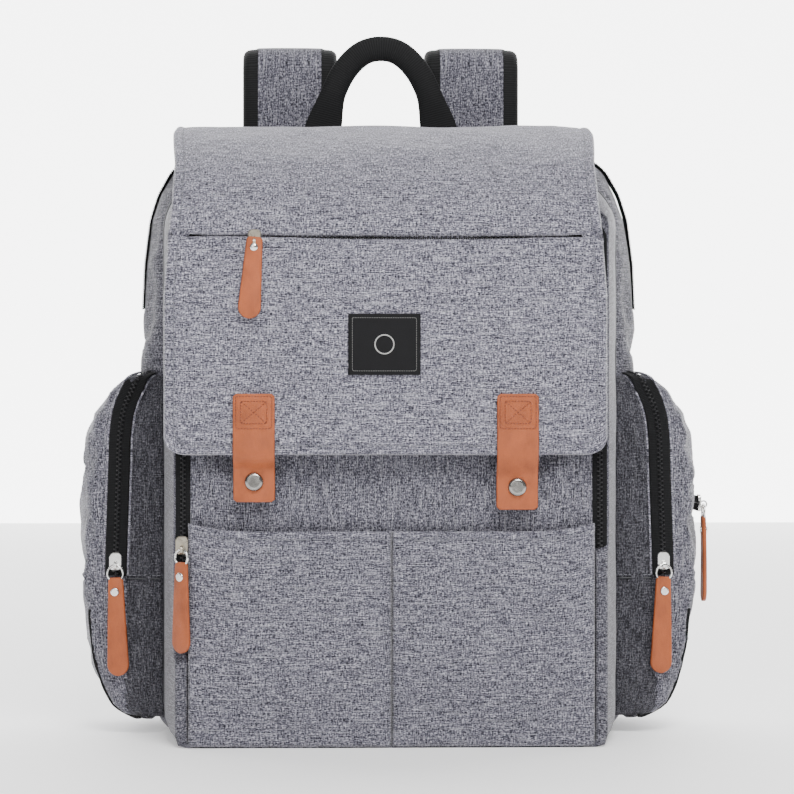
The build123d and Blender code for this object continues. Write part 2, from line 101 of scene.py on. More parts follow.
# ---------------------------------------------------------------- materials
class Surface:
    """A material being made: its nodes, its links and the shader that they end in."""

    def __init__(self, name):
        self.material = bpy.data.materials.new(name)
        self.material.use_nodes = True
        self.nodes = self.material.node_tree.nodes
        self.links = self.material.node_tree.links
        self.shader = self.nodes["Principled BSDF"]

    def feed(self, socket, value):
        """Gives a socket a number, a colour or another node's output."""
        if isinstance(value, (int, float)):
            socket.default_value = value
        elif isinstance(value, tuple):
            socket.default_value = (*value, 1)
        else:
            self.links.new(value, socket)

    def shade(self, **values):
        """Feeds the shader's sockets, named here with underscores for spaces."""
        for name, value in values.items():
            self.feed(self.shader.inputs[name.replace("_", " ")], value)

    def coordinates(self, scale, source="UV", offset=0.0):
        """Texture coordinates in metres along the cloth, or in the object's space, scaled on each axis."""
        texture = self.nodes.new("ShaderNodeTexCoord")
        mapping = self.nodes.new("ShaderNodeMapping")
        mapping.inputs["Scale"].default_value = scale
        mapping.inputs["Location"].default_value = (offset, offset * 1.7, 0)
        self.links.new(texture.outputs[source], mapping.inputs["Vector"])
        return mapping.outputs["Vector"]

    def noise(self, vector, detail=2.0, roughness=0.5, distortion=0.0):
        texture = self.nodes.new("ShaderNodeTexNoise")
        texture.inputs["Scale"].default_value = 1.0
        texture.inputs["Detail"].default_value = detail
        texture.inputs["Roughness"].default_value = roughness
        texture.inputs["Distortion"].default_value = distortion
        self.links.new(vector, texture.inputs["Vector"])
        return texture.outputs["Fac"]

    def cells(self, vector, **settings):
        """The distances of a Voronoi texture's cells."""
        texture = self.nodes.new("ShaderNodeTexVoronoi")
        texture.feature = settings.get("feature", "F1")
        texture.inputs["Scale"].default_value = 1.0
        texture.inputs["Randomness"].default_value = settings.get("randomness", 1.0)
        self.links.new(vector, texture.inputs["Vector"])
        return texture.outputs["Distance"]

    def ramp(self, value, stops):
        """A colour ramp through (position, colour) stops."""
        node = self.nodes.new("ShaderNodeValToRGB")
        elements = node.color_ramp.elements
        while len(elements) < len(stops):
            elements.new(0.5)
        for element, (position, colour) in zip(elements, stops):
            element.position = position
            element.color = (*colour, 1)
        self.links.new(value, node.inputs["Fac"])
        return node.outputs["Color"]

    def remap(self, value, low, high, to_low, to_high):
        node = self.nodes.new("ShaderNodeMapRange")
        node.inputs["From Min"].default_value = low
        node.inputs["From Max"].default_value = high
        node.inputs["To Min"].default_value = to_low
        node.inputs["To Max"].default_value = to_high
        self.links.new(value, node.inputs["Value"])
        return node.outputs["Result"]

    def blend_of(self, *shares):
        """The sum of (value, share) pairs."""
        total = None
        for value, share in shares:
            scaled = self.combine("MULTIPLY", value, share)
            total = scaled if total is None else self.combine("ADD", total, scaled)
        return total

    def combine(self, operation, first, second):
        node = self.nodes.new("ShaderNodeMath")
        node.operation = operation
        for socket, value in zip(node.inputs, (first, second)):
            self.feed(socket, value)
        return node.outputs["Value"]

    def mix(self, factor, first, second):
        node = self.nodes.new("ShaderNodeMix")
        node.data_type = "RGBA"
        for name, value in (("Factor", factor), ("A", first), ("B", second)):
            socket = next(s for s in node.inputs if s.name == name and s.enabled)
            self.feed(socket, value)
        return next(s for s in node.outputs if s.enabled)

    def bump(self, height, distance, strength):
        node = self.nodes.new("ShaderNodeBump")
        node.inputs["Strength"].default_value = strength
        node.inputs["Distance"].default_value = distance
        self.links.new(height, node.inputs["Height"])
        self.links.new(node.outputs["Normal"], self.shader.inputs["Normal"])


def toned(colour, factor):
    return tuple(min(1, channel * factor) for channel in colour)


def heather_cloth(name, slubs_along_u=True, brightness=1.0):
    """Grey melange cloth: pale and dark slubs along one thread direction over a fine plain weave."""
    surface = Surface(name)

    def threads(length_scale, cross_scale, offset=0.0):
        scale = (length_scale, cross_scale, 1) if slubs_along_u else (cross_scale, length_scale, 1)
        return surface.coordinates(scale, offset=offset)

    slub = surface.noise(threads(105, 1250), detail=3.0, roughness=0.7, distortion=0.5)
    streak = surface.noise(threads(46, 1600, 1.3), detail=1.0, distortion=0.3)
    thread = surface.noise(threads(640, 1500, 3.1), detail=1.0)
    cross = surface.noise(threads(1400, 260, 7.7), detail=1.0)
    tone = surface.blend_of((slub, 0.36), (thread, 0.38), (cross, 0.26))
    stops = [
        (0.40, (0.008, 0.008, 0.013)),
        (0.46, (0.056, 0.054, 0.074)),
        (0.51, (0.150, 0.146, 0.182)),
        (0.56, (0.285, 0.277, 0.328)),
        (0.64, (0.620, 0.605, 0.670)),
    ]
    # brightness below 1 darkens every colour of the cloth: these darker copies paint shade onto the parts that
    # use them
    colour = surface.ramp(tone, [(position, toned(shade, brightness)) for position, shade in stops])
    # a few long pale threads stand out of the weave
    pale = surface.remap(streak, 0.62, 0.72, 0.0, 0.55)
    colour = surface.mix(pale, colour, toned((0.50, 0.50, 0.54), brightness))
    surface.shade(
        Base_Color=colour, Roughness=0.88, Sheen_Weight=0.25, Sheen_Roughness=0.5, Specular_IOR_Level=0.25
    )
    surface.bump(tone, 0.0006, 0.55)
    return surface.material


def ribbed_webbing(name, colour, pitch, roughness=0.75):
    """Webbing or tape: fine ribs across its run and a faint twill."""
    surface = Surface(name)
    rib = surface.nodes.new("ShaderNodeTexWave")
    rib.wave_type = "BANDS"
    rib.bands_direction = "Y"
    rib.inputs["Scale"].default_value = 1.0
    rib.inputs["Distortion"].default_value = 0.4
    surface.links.new(surface.coordinates((1, 0.314 / pitch, 1)), rib.inputs["Vector"])
    grain = surface.noise(surface.coordinates((900, 2200, 1)))
    tone = surface.blend_of((rib.outputs["Fac"], 0.5), (grain, 0.5))
    shade = surface.ramp(tone, [(0.3, toned(colour, 0.45)), (0.75, toned(colour, 2.1))])
    surface.shade(Base_Color=shade, Roughness=roughness, Sheen_Weight=0.03, Specular_IOR_Level=0.2)
    surface.bump(tone, 0.0004, 0.6)
    return surface.material


def tan_leather(name, colour):
    """Smooth finished leather: fine pores, a soft mottle and darker creases."""
    surface = Surface(name)
    cells = surface.cells(surface.coordinates((1500, 1500, 1500), "Object"), feature="DISTANCE_TO_EDGE")
    pores = surface.remap(cells, 0.0, 0.25, 0.0, 1.0)
    mottle = surface.noise(surface.coordinates((110, 110, 70), "Object"), detail=4.0)
    fibre = surface.noise(surface.coordinates((900, 900, 260), "Object"))
    dark = toned(colour, 0.72)
    pale = toned(colour, 1.22)
    base = surface.ramp(mottle, [(0.3, dark), (0.5, colour), (0.72, pale)])
    base = surface.mix(surface.remap(fibre, 0.35, 0.7, 0.0, 0.35), base, pale)
    base = surface.mix(surface.remap(pores, 0.0, 1.0, 0.35, 0.0), base, dark)
    gloss = surface.remap(mottle, 0.3, 0.7, 0.52, 0.40)
    surface.shade(Base_Color=base, Roughness=gloss, Specular_IOR_Level=0.45)
    surface.bump(surface.blend_of((pores, 1.0), (fibre, 0.8)), 0.00018, 0.5)
    return surface.material


def metal(name, colour, roughness):
    """Plated die-cast metal with a slight orange peel and finger wear."""
    surface = Surface(name)
    wear = surface.noise(surface.coordinates((260, 260, 260), "Object"), detail=3.0)
    shade = surface.ramp(wear, [(0.35, toned(colour, 0.8)), (0.6, colour)])
    gloss = surface.remap(wear, 0.3, 0.7, roughness * 0.8, roughness * 1.4)
    surface.shade(Base_Color=shade, Metallic=1.0, Roughness=gloss)
    surface.bump(wear, 0.00005, 0.3)
    return surface.material


def moulded_plastic(name, colour):
    surface = Surface(name)
    grain = surface.noise(surface.coordinates((1700, 1700, 1700), "Object"))
    surface.shade(Base_Color=surface.ramp(grain, [(0.4, colour), (0.7, toned(colour, 1.5))]), Roughness=0.46)
    surface.bump(grain, 0.0001, 0.4)
    return surface.material


def foil_lining(name):
    """Crinkled silver insulating foil."""
    surface = Surface(name)
    crinkle = surface.noise(surface.coordinates((160, 160, 1)), detail=4.0, distortion=0.6)
    colour = surface.ramp(crinkle, [(0.3, (0.42, 0.43, 0.45)), (0.7, (0.74, 0.75, 0.77))])
    surface.shade(Base_Color=colour, Metallic=0.75, Roughness=0.38)
    surface.bump(crinkle, 0.002, 0.6)
    return surface.material


def spacer_mesh(name):
    """The airy knitted mesh of the back panel: small dark holes in a grey knit."""
    surface = Surface(name)
    cells = surface.cells(surface.coordinates((420, 420, 1)), randomness=0.12)
    knit = surface.remap(cells, 0.18, 0.45, 0.0, 1.0)
    colour = surface.ramp(knit, [(0.1, (0.02, 0.02, 0.024)), (0.6, (0.085, 0.088, 0.1))])
    surface.shade(Base_Color=colour, Roughness=0.9, Sheen_Weight=0.2)
    surface.bump(knit, 0.0008, 0.7)
    return surface.material


CLOTH = heather_cloth("heather_cloth")
# The copies below are the flap's cloth darkened, which paints the shade on the parts that use them: the body,
# the gusset, the front pockets, the panel under the flap, the side pockets and the straps.
CLOTH_BODY_SHADED = heather_cloth("heather_cloth_body_painted_shade", brightness=0.56)
CLOTH_GUSSET_SHADED = heather_cloth("heather_cloth_gusset_painted_shade", slubs_along_u=False, brightness=0.54)
# the darkest copy paints the shadow in the recess between the side pockets' zips and the bag
CLOTH_RECESS_SHADOW = heather_cloth("heather_cloth_recess_painted_shadow", slubs_along_u=False, brightness=0.26)
CLOTH_POCKETS_SHADED = heather_cloth("heather_cloth_pockets_painted_shade", brightness=0.84)
CLOTH_UPRIGHT_SHADED = heather_cloth("heather_cloth_upright_painted_shade", slubs_along_u=False, brightness=0.70)
WEBBING = ribbed_webbing("black_webbing", (0.0045, 0.0046, 0.005), 0.0016)
ZIP_TAPE = ribbed_webbing("zip_tape", (0.0042, 0.0043, 0.0048), 0.0011, 0.85)
ZIP_TEETH = moulded_plastic("zip_coil", (0.010, 0.010, 0.011))
LEATHER = tan_leather("tan_leather", (0.34, 0.077, 0.018))
THREAD_TAN = moulded_plastic("thread_tan", (0.15, 0.034, 0.012))
THREAD_GREY = moulded_plastic("thread_grey", (0.115, 0.118, 0.135))
# a near-black cord laid along seams paints the shade in the seam's groove
SEAM_SHADE = moulded_plastic("seam_painted_shade", (0.02, 0.021, 0.025))
BRIGHT = metal("bright_nickel", (0.82, 0.81, 0.79), 0.16)
ANTIQUE = metal("antique_nickel", (0.42, 0.38, 0.31), 0.28)
GUNMETAL = metal("gunmetal", (0.33, 0.32, 0.30), 0.22)
BUCKLE = moulded_plastic("buckle_plastic", (0.012, 0.012, 0.013))
BOARD = moulded_plastic("board_plastic", (0.03, 0.03, 0.032))
FOIL = foil_lining("insulating_foil")
MESH_FABRIC = spacer_mesh("spacer_mesh")
LABEL = ribbed_webbing("label_weave", (0.0035, 0.0035, 0.0042), 0.0005, 0.7)
LABEL_THREAD = ribbed_webbing("label_thread", (0.32, 0.32, 0.31), 0.0005, 0.7)


# ---------------------------------------------------------------- lines and shares
def unit(value):
    """The value held between 0 and 1."""
    return np.clip(value, 0, 1)


def bell(value, power=2):
    """1 where the value is 0, falling smoothly to 0 either side."""
    return np.exp(-(value**power))


def distances(line):
    """How far along a line each of its points is."""
    return np.concatenate([[0], np.cumsum(np.linalg.norm(np.diff(line, axis=0), axis=1))])


def evenly(points, count):
    """This many points spaced evenly along a line."""
    points = np.asarray(points, float)
    along = distances(points)
    at = np.linspace(0, along[-1], count)
    return np.stack([np.interp(at, along, column) for column in points.T], axis=1)


def resample(points, step):
    """Points about step apart along a line."""
    return evenly(points, max(2, int(round(distances(points)[-1] / step)) + 1))


def smooth_line(points, step=3.0):
    """A Catmull-Rom curve through a few points, evenly spaced."""
    p = np.asarray(points, float)
    p = np.vstack([2 * p[0] - p[1], p, 2 * p[-1] - p[-2]])
    t = np.linspace(0, 1, 16, endpoint=False)[:, None]
    out = []
    for i in range(1, len(p) - 2):
        a, b, c, d = p[i - 1 : i + 3]
        square = (2 * a - 5 * b + 4 * c - d) * t**2
        cube = (3 * b - a - 3 * c + d) * t**3
        out.append(0.5 * (2 * b + (c - a) * t + square + cube))
    return resample(np.vstack([*out, p[-2]]), step)


def normalised(vectors):
    return vectors / np.maximum(np.linalg.norm(vectors, axis=-1, keepdims=True), 1e-9)


def frames_along(line, up):
    """Unit tangent, side and lift vectors at each point. lift is as near to up as it can be.

    up is a direction, or a function that gives one for each point.
    """
    tangent = normalised(np.gradient(line, axis=0))
    up = up(line) if callable(up) else np.broadcast_to(np.asarray(up, float), line.shape)
    side = normalised(np.cross(tangent, up))
    return tangent, side, np.cross(side, tangent)


def rounded_box(half_width, low, high, low_radius, high_radius=None):
    """(x, y) points round a box with rounded corners, from its upper left corner down the left side."""
    points = []
    for hand, upper, start in ((-1, True, 90), (-1, False, 180), (1, False, 270), (1, True, 0)):
        radius = (high_radius or low_radius) if upper else low_radius
        centre_x = hand * (half_width - radius)
        centre_y = high - radius if upper else low + radius
        for angle in np.radians(start + np.linspace(0, 90, 9)):
            points.append((centre_x + radius * math.cos(angle), centre_y + radius * math.sin(angle)))
    return points


def box_path(x0, x1, depth, z0, z1):
    """The four sides of an upright rectangle, from its upper left corner and back to it."""
    return [(x0, depth, z1), (x1, depth, z1), (x1, depth, z0), (x0, depth, z0), (x0, depth, z1)]


# ---------------------------------------------------------------- mesh tools
def metres(points):
    """(x, depth, z) in millimetres to row-frame metres."""
    points = np.asarray(points, float)
    return (points + np.array([0, FRONT_Y, 0])) * MM


def place(obj, rule):
    """rule is ("ride", body) or ("blend", body_a, body_b, start, end) with points in (x, depth, z); a blend
    rule only bakes the transform, and its bodies and points are not used.
    """
    if rule[0] == "ride":
        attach(obj, rule[1])
        return obj
    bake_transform(obj)
    return obj


def build(name, points, faces, materials, rule, uvs=None, face_material=None, smooth=True):
    mesh = bpy.data.meshes.new(name)
    mesh.from_pydata([tuple(p) for p in metres(points)], [], faces)
    if uvs is not None:
        layer = mesh.uv_layers.new(name="weave")
        flat = [value for face_uv in uvs for corner in face_uv for value in corner]
        layer.data.foreach_set("uv", flat)
    for material in materials if isinstance(materials, (list, tuple)) else [materials]:
        mesh.materials.append(material)
    if face_material is not None:
        mesh.polygons.foreach_set("material_index", face_material)
    if smooth:
        mesh.shade_smooth()
    mesh.update()
    obj = bpy.data.objects.new(name, mesh)
    bpy.context.scene.collection.objects.link(obj)
    return place(obj, rule) if rule else obj


def ring_faces(ring_count, size, start=0, ends=True):
    """Faces between closed rings of points, with a face over each end."""
    faces = []
    for ring in range(ring_count - 1):
        at = start + ring * size
        for k in range(size):
            n = (k + 1) % size
            faces.append([at + k, at + n, at + size + n, at + size + k])
    if ends:
        last = start + (ring_count - 1) * size
        faces.append([start + k for k in range(size)][::-1])
        faces.append([last + k for k in range(size)])
    return faces


def ring_uvs(along, around):
    """Weave coordinates for ring_faces, from the distances of the rings and of each ring's points."""
    uvs = [
        [(around[k], low), (around[k + 1], low), (around[k + 1], high), (around[k], high)]
        for low, high in zip(along[:-1], along[1:])
        for k in range(len(around) - 1)
    ]
    return uvs + [[(0, 0)] * (len(around) - 1)] * 2


def edited(obj, change):
    """Changes an object's mesh with bmesh."""
    shape = bmesh.new()
    shape.from_mesh(obj.data)
    change(shape)
    shape.to_mesh(obj.data)
    shape.free()


def face_outwards(shape):
    bmesh.ops.recalc_face_normals(shape, faces=shape.faces)


def cloth_lengths(grid):
    """Mean distances along the columns and the rows, in metres, for the weave's coordinates."""
    across = np.linalg.norm(np.diff(grid, axis=1), axis=2).mean(axis=0) * MM
    down = np.linalg.norm(np.diff(grid, axis=0), axis=2).mean(axis=1) * MM
    return np.concatenate([[0], np.cumsum(across)]), np.concatenate([[0], np.cumsum(down)])


def pushed(grid, amount):
    """Moves a grid outwards. Its rows go down and its columns go right, seen from outside."""
    down, right = np.gradient(grid, axis=0), np.gradient(grid, axis=1)
    return grid + normalised(np.cross(down, right)) * np.asarray(amount)[..., None]


def folds(grid, size, seed):
    """A smooth field from -1 to 1 over a grid. size is the fold's length on each axis, in mm."""
    scaled = grid.reshape(-1, 3) / np.asarray(size, float) + seed * 17.3
    values = [noise.fractal(Vector(p), 0.9, 2.0, 2) for p in scaled]
    return np.array(values).reshape(grid.shape[:2])


def upright_grid(x, z, depth):
    """A flat grid that faces forwards, with its x and z values."""
    xx, zz = np.meshgrid(x, z)
    return np.stack([xx, np.full_like(xx, depth), zz], axis=2), xx, zz


def grid_piece(
    name, grid, materials, rule, thickness=0.0, uv_shift=0.0, free=None, slack=0.03, pressure=1.0, shade=None
):
    """A sheet from a grid of points, with weave coordinates, settled as cloth and thickened inwards.

    free says where the cloth may move, and shade says which material each part of the grid has.
    """
    rows, columns = grid.shape[:2]
    u, v = cloth_lengths(grid)
    faces, uvs, which = [], [], []
    for r in range(rows - 1):
        for c in range(columns - 1):
            corners = ((r, c), (r + 1, c), (r + 1, c + 1), (r, c + 1))
            faces.append([rr * columns + cc for rr, cc in corners])
            uvs.append([(u[cc] + uv_shift, -v[rr]) for rr, cc in corners])
            which.append(int(shade[r, c]) if shade is not None else 0)
    obj = build(name, grid.reshape(-1, 3), faces, materials, None, uvs, which)
    if free is not None:
        attribute = obj.data.attributes.new("free", "FLOAT", "POINT")
        attribute.data.foreach_set("value", unit(free).ravel().astype(np.float32))
    edited(obj, weld)
    if free is not None:
        settle(obj, slack, pressure)
        obj.data.attributes.remove(obj.data.attributes["free"])
    if thickness:
        solid = obj.modifiers.new("thickness", "SOLIDIFY")
        solid.thickness = thickness * MM
        solid.offset = -1
        solid.use_even_offset = False
        apply_modifiers(obj)
    return place(obj, rule) if rule else obj


def weld(shape, distance=0.00002, least_area=1e-12):
    """Merges points that coincide, and drops the faces that this leaves without area."""
    bmesh.ops.remove_doubles(shape, verts=shape.verts, dist=distance)
    flat = [face for face in shape.faces if face.calc_area() < least_area]
    bmesh.ops.delete(shape, geom=flat, context="FACES_ONLY")


CLOTH_SETTINGS = {
    "quality": 4,
    "mass": 0.0006,
    "tension_stiffness": 20,
    "compression_stiffness": 20,
    "shear_stiffness": 6,
    "bending_stiffness": 0.02,
    "air_damping": 4,
    "use_pressure": True,
    "vertex_group_mass": "pinned",
    "pin_stiffness": 2,
}
SETTLING_FRAMES = 15
LARGEST_MOVE = 3.5


def point_places(mesh):
    flat = np.zeros(len(mesh.vertices) * 3)
    mesh.vertices.foreach_get("co", flat)
    return flat.reshape(-1, 3)


def settle(obj, slack, pressure):
    """A short cloth simulation: the cloth grows by its slack, so that it puckers between its seams.

    The mesh's "free" attribute says how freely each point moves, from 0 on a seam to 1.
    """
    count = len(obj.data.vertices)
    free = np.zeros(count)
    obj.data.attributes["free"].data.foreach_get("value", free)
    rest = point_places(obj.data)
    pinned = obj.vertex_groups.new(name="pinned")
    for index in range(count):
        pinned.add([index], float(1 - free[index]) ** 2, "REPLACE")
    cloth = obj.modifiers.new("cloth", "CLOTH")
    for key, value in CLOTH_SETTINGS.items():
        setattr(cloth.settings, key, value)
    cloth.settings.effector_weights.gravity = 0
    cloth.settings.uniform_pressure_force = pressure
    cloth.settings.shrink_min = -slack
    cloth.collision_settings.use_collision = False
    cloth.collision_settings.use_self_collision = False
    scene = bpy.context.scene
    for number in range(1, SETTLING_FRAMES + 1):
        scene.frame_set(number)
    graph = bpy.context.evaluated_depsgraph_get()
    step = point_places(obj.evaluated_get(graph).data) - rest
    obj.modifiers.clear()
    obj.vertex_groups.clear()
    scene.frame_set(1)
    size = np.linalg.norm(step, axis=1, keepdims=True)
    step = np.where(np.isfinite(step), step, 0)
    step = step * np.minimum(1, LARGEST_MOVE * MM / np.maximum(size, 1e-9)) * free[:, None]
    obj.data.vertices.foreach_set("co", (rest + step).ravel())
    obj.data.update()


def apply_modifiers(obj):
    graph = bpy.context.evaluated_depsgraph_get()
    evaluated = obj.evaluated_get(graph)
    mesh = bpy.data.meshes.new_from_object(evaluated, preserve_all_data_layers=True, depsgraph=graph)
    obj.modifiers.clear()
    old = obj.data
    obj.data = mesh
    bpy.data.meshes.remove(old)


def tube(name, line, radius, material, rule, up=FORWARD, sides=8, flatten=1.0):
    """A cord-like piece, such as piping or a rolled hem, with closed ends."""
    line = np.asarray(line, float)
    tangent, side, lift = frames_along(line, up)
    angles = np.linspace(0, 2 * math.pi, sides, endpoint=False)
    rings = [line + radius * (math.cos(a) * side + flatten * math.sin(a) * lift) for a in angles]
    points = np.stack(rings, axis=1).reshape(-1, 3)
    uvs = ring_uvs(distances(line) * MM, np.arange(sides + 1) * radius * 0.8 * MM)
    return build(name, points, ring_faces(len(line), sides), material, rule, uvs)


def stitches(name, line, lift, material, rule, pitch=3.4, length=2.5, radius=0.3):
    """A row of thread stitches along a line, each a short rounded bar that dips at its ends."""
    line = resample(line, pitch)
    up = np.asarray(lift, float)
    # along the stitch, height and size of each of its rings
    rings = ((-0.5, -0.35, 0.35), (-0.32, 0.1, 1), (0.32, 0.1, 1), (0.5, -0.35, 0.35))
    sides = 6
    points, faces = [], []
    for a, b in zip(line[:-1], line[1:]):
        run = normalised(b - a)
        side = normalised(np.cross(run, up))
        faces += ring_faces(len(rings), sides, start=len(points))
        for offset, height, size in rings:
            centre = (a + b) / 2 + run * offset * length + up * height * radius
            for angle in np.linspace(0, 2 * math.pi, sides, endpoint=False):
                points.append(centre + radius * size * (math.cos(angle) * side + math.sin(angle) * up))
    return build(name, points, faces, material, rule)


def join(name, objects):
    """Joins pieces that ride alike into one."""
    first = objects[0]
    shape = bmesh.new()
    materials = []
    for obj in objects:
        start = len(shape.faces)
        shape.from_mesh(obj.data)
        shape.faces.ensure_lookup_table()
        numbers = []
        for material in obj.data.materials:
            if material not in materials:
                materials.append(material)
            numbers.append(materials.index(material))
        for face in shape.faces[start:]:
            face.material_index = numbers[face.material_index]
    mesh = bpy.data.meshes.new(name)
    shape.to_mesh(mesh)
    shape.free()
    for material in materials:
        mesh.materials.append(material)
    first.data = mesh
    first.name = name
    for obj in objects[1:]:
        bpy.data.objects.remove(obj)
    return first


# ---------------------------------------------------------------- zips
def zip_tape(name, line, side, lift, half_width):
    """One ribbed tape beside the teeth. side points from the teeth to the tape's edge."""
    profile = ((0.5, 0.55), (2.0, 0.35), (half_width * 0.84, 0.2), (half_width, -0.25))
    grid = np.stack([line + offset * side + height * lift for offset, height in profile], axis=1)
    facing = np.cross(grid[1, 0] - grid[0, 0], grid[0, 1] - grid[0, 0]) @ lift[0]
    if facing < 0:
        grid = grid[:, ::-1]
    return grid_piece(f"{name}_tape", grid, ZIP_TAPE, None, thickness=0.5)


def zip_coil(name, line, outward, pitch=1.45):
    """The teeth: small tapered blocks, in turn on one side of the line and the other."""
    fine = resample(line, pitch)
    run, across, up = frames_along(fine, outward)
    levels = ((-0.5, 1.0), (0.35, 0.95), (0.75, 0.55))  # height and size
    points, faces = [], []
    for i in range(len(fine)):
        hand = 1 if i % 2 else -1
        middle = fine[i] + across[i] * hand * 0.65 + up[i] * 0.75
        faces += ring_faces(len(levels), 4, start=len(points))
        for height, size in levels:
            for a, b in ((-1, -1), (1, -1), (1, 1), (-1, 1)):
                points.append(middle + across[i] * 1.15 * a * size + run[i] * 0.52 * b * size + up[i] * height)
    return build(f"{name}_coil", points, faces, ZIP_TEETH, None, smooth=False)


def zip_run(name, line, outward, width, rule, nodes):
    """A zip along a line on the cloth: two ribbed tapes and a coil of teeth between them."""
    line = resample(line, 4.0)
    tangent, side, lift = frames_along(line, outward)
    pieces = [zip_tape(name, line, hand * side, lift, width / 2) for hand in (-1, 1)]
    piece = join(name, pieces + [zip_coil(name, line, outward)])
    place(piece, rule)
    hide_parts(*nodes)


# ---------------------------------------------------------------- main compartment
BODY_PROFILE = [  # height, half width, front depth, back depth
    (0, 148, 69, 181),
    (3, 152, 65.5, 183),
    (9, 156, 63.4, 185),
    (18, 159, 62.6, 186),
    (60, 162.4, 62.4, 186),
    (130, 164.6, 62.4, 186),
    (200, 165.6, 62.4, 186),
    (270, 166, 62.5, 186),
    (315, 164.2, 62.8, 186),
    (345, 160.4, 63.6, 186),
    (362, 155, 65.5, 185.6),
    (378, 146, 70, 184.6),
    (387, 135, 75, 183),
    (391.5, 124, 80.5, 180.5),
]
BODY_Z, BODY_HALF, BODY_FRONT, BODY_BACK = (np.array(column, float) for column in zip(*BODY_PROFILE))
BODY_TOP = BODY_Z[-1]


def body_at(z, table):
    return float(np.interp(z, BODY_Z, table))


def ring(half, front, rear, radius, z, shrink=1.0):
    """A level rounded ring that starts at the middle of the back and comes round by the left side."""
    radius = min(radius, half * 0.9, (rear - front) * 0.45)
    middle_of_back = [(0, rear)]
    line = evenly(middle_of_back + rounded_box(half, front, rear, radius) + middle_of_back, 168)
    centre = np.array([0, (front + rear) / 2])
    return np.column_stack([centre + (line - centre) * shrink, np.full(len(line), z)])


def make_body():
    top_ring = (BODY_HALF[-1], BODY_FRONT[-1], BODY_BACK[-1], 24)
    foot_ring = (BODY_HALF[0], BODY_FRONT[0], BODY_BACK[0], 22)
    crown = ((0.0, 1.2), (0.35, 1.15), (0.7, 0.9), (0.92, 0.4))
    rows = [ring(*top_ring, BODY_TOP + rise, shrink) for shrink, rise in crown]
    heights = (np.linspace(BODY_TOP, 345, 16), np.linspace(340, 20, 66), np.linspace(15, 0, 7))
    for z in np.concatenate(heights):
        rows.append(ring(body_at(z, BODY_HALF), body_at(z, BODY_FRONT), body_at(z, BODY_BACK), 27, z))
    rows += [ring(*foot_ring, 0.15, shrink) for shrink in (0.96, 0.7, 0.35, 0.0)]
    grid = np.array(rows)
    height = grid[..., 2]
    loose = unit(height / 60) * unit((392 - height) / 30)
    soft = folds(grid, (70, 60, 46), 1) * 1.1 + folds(grid, (26, 26, 60), 2) * 0.45
    sides_only = unit((grid[..., 1] - 66) / 14)
    grid = pushed(grid, soft * loose * sides_only - 0.2)
    # a little narrower in front of the zip, which then shows along both shoulders
    before_zip = unit((92 - grid[..., 1]) / 12) * unit((height - 250) / 40)
    grid[..., 0] *= 1 - 0.022 * before_zip
    zip_line = unit(np.abs(grid[..., 1] - MAIN_ZIP_DEPTH) / 14 - 0.5)
    upper = np.where(height > MAIN_ZIP_FOOT, zip_line, 1.0)
    free = loose * sides_only * upper * unit((184 - grid[..., 1]) / 12)
    body = grid_piece("main_body_cloth", grid, CLOTH_BODY_SHADED, ON_BAG, free=free, slack=0.035, pressure=0.6)
    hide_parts("main_compartment_shell", "mouth_gussets")


def make_main_zip():
    """Up one shoulder, across the mouth and down the other."""
    heights = np.linspace(MAIN_ZIP_FOOT, BODY_TOP, 30)
    right = [(body_at(z, BODY_HALF) + 1.1, MAIN_ZIP_DEPTH, z) for z in heights]
    across = [(x, MAIN_ZIP_DEPTH, BODY_TOP + 1.6) for x in np.linspace(112, -112, 40)]
    left = [(-x, depth, z) for x, depth, z in right[::-1]]
    path = resample(np.array(right + across + left), 4.0)

    def away(points):
        return np.stack(
            [points[:, 0] / 150, np.zeros(len(points)), np.clip((points[:, 2] - 330) / 40, 0.02, 2)], axis=1
        )

    zip_run("main_zip", path, away, 13, ON_BAG, ["main_zip_tape"])
    for edge, label in ((-8.2, "front"), (8.2, "rear")):
        stitches(f"main_zip_seam_{label}", path + np.array([0, edge, 0]), UPWARD, THREAD_GREY, ON_BAG)


# ---------------------------------------------------------------- front compartment
def gusset_outline(half, height, radius, top_radius=None):
    """Once round the front compartment, from the middle of its top by the left side."""
    middle_of_top = [(0, height)]
    flat = evenly(middle_of_top + rounded_box(half, 0.2, height, radius, top_radius) + middle_of_top, 230)
    return np.insert(flat, 1, 0.0, axis=1)


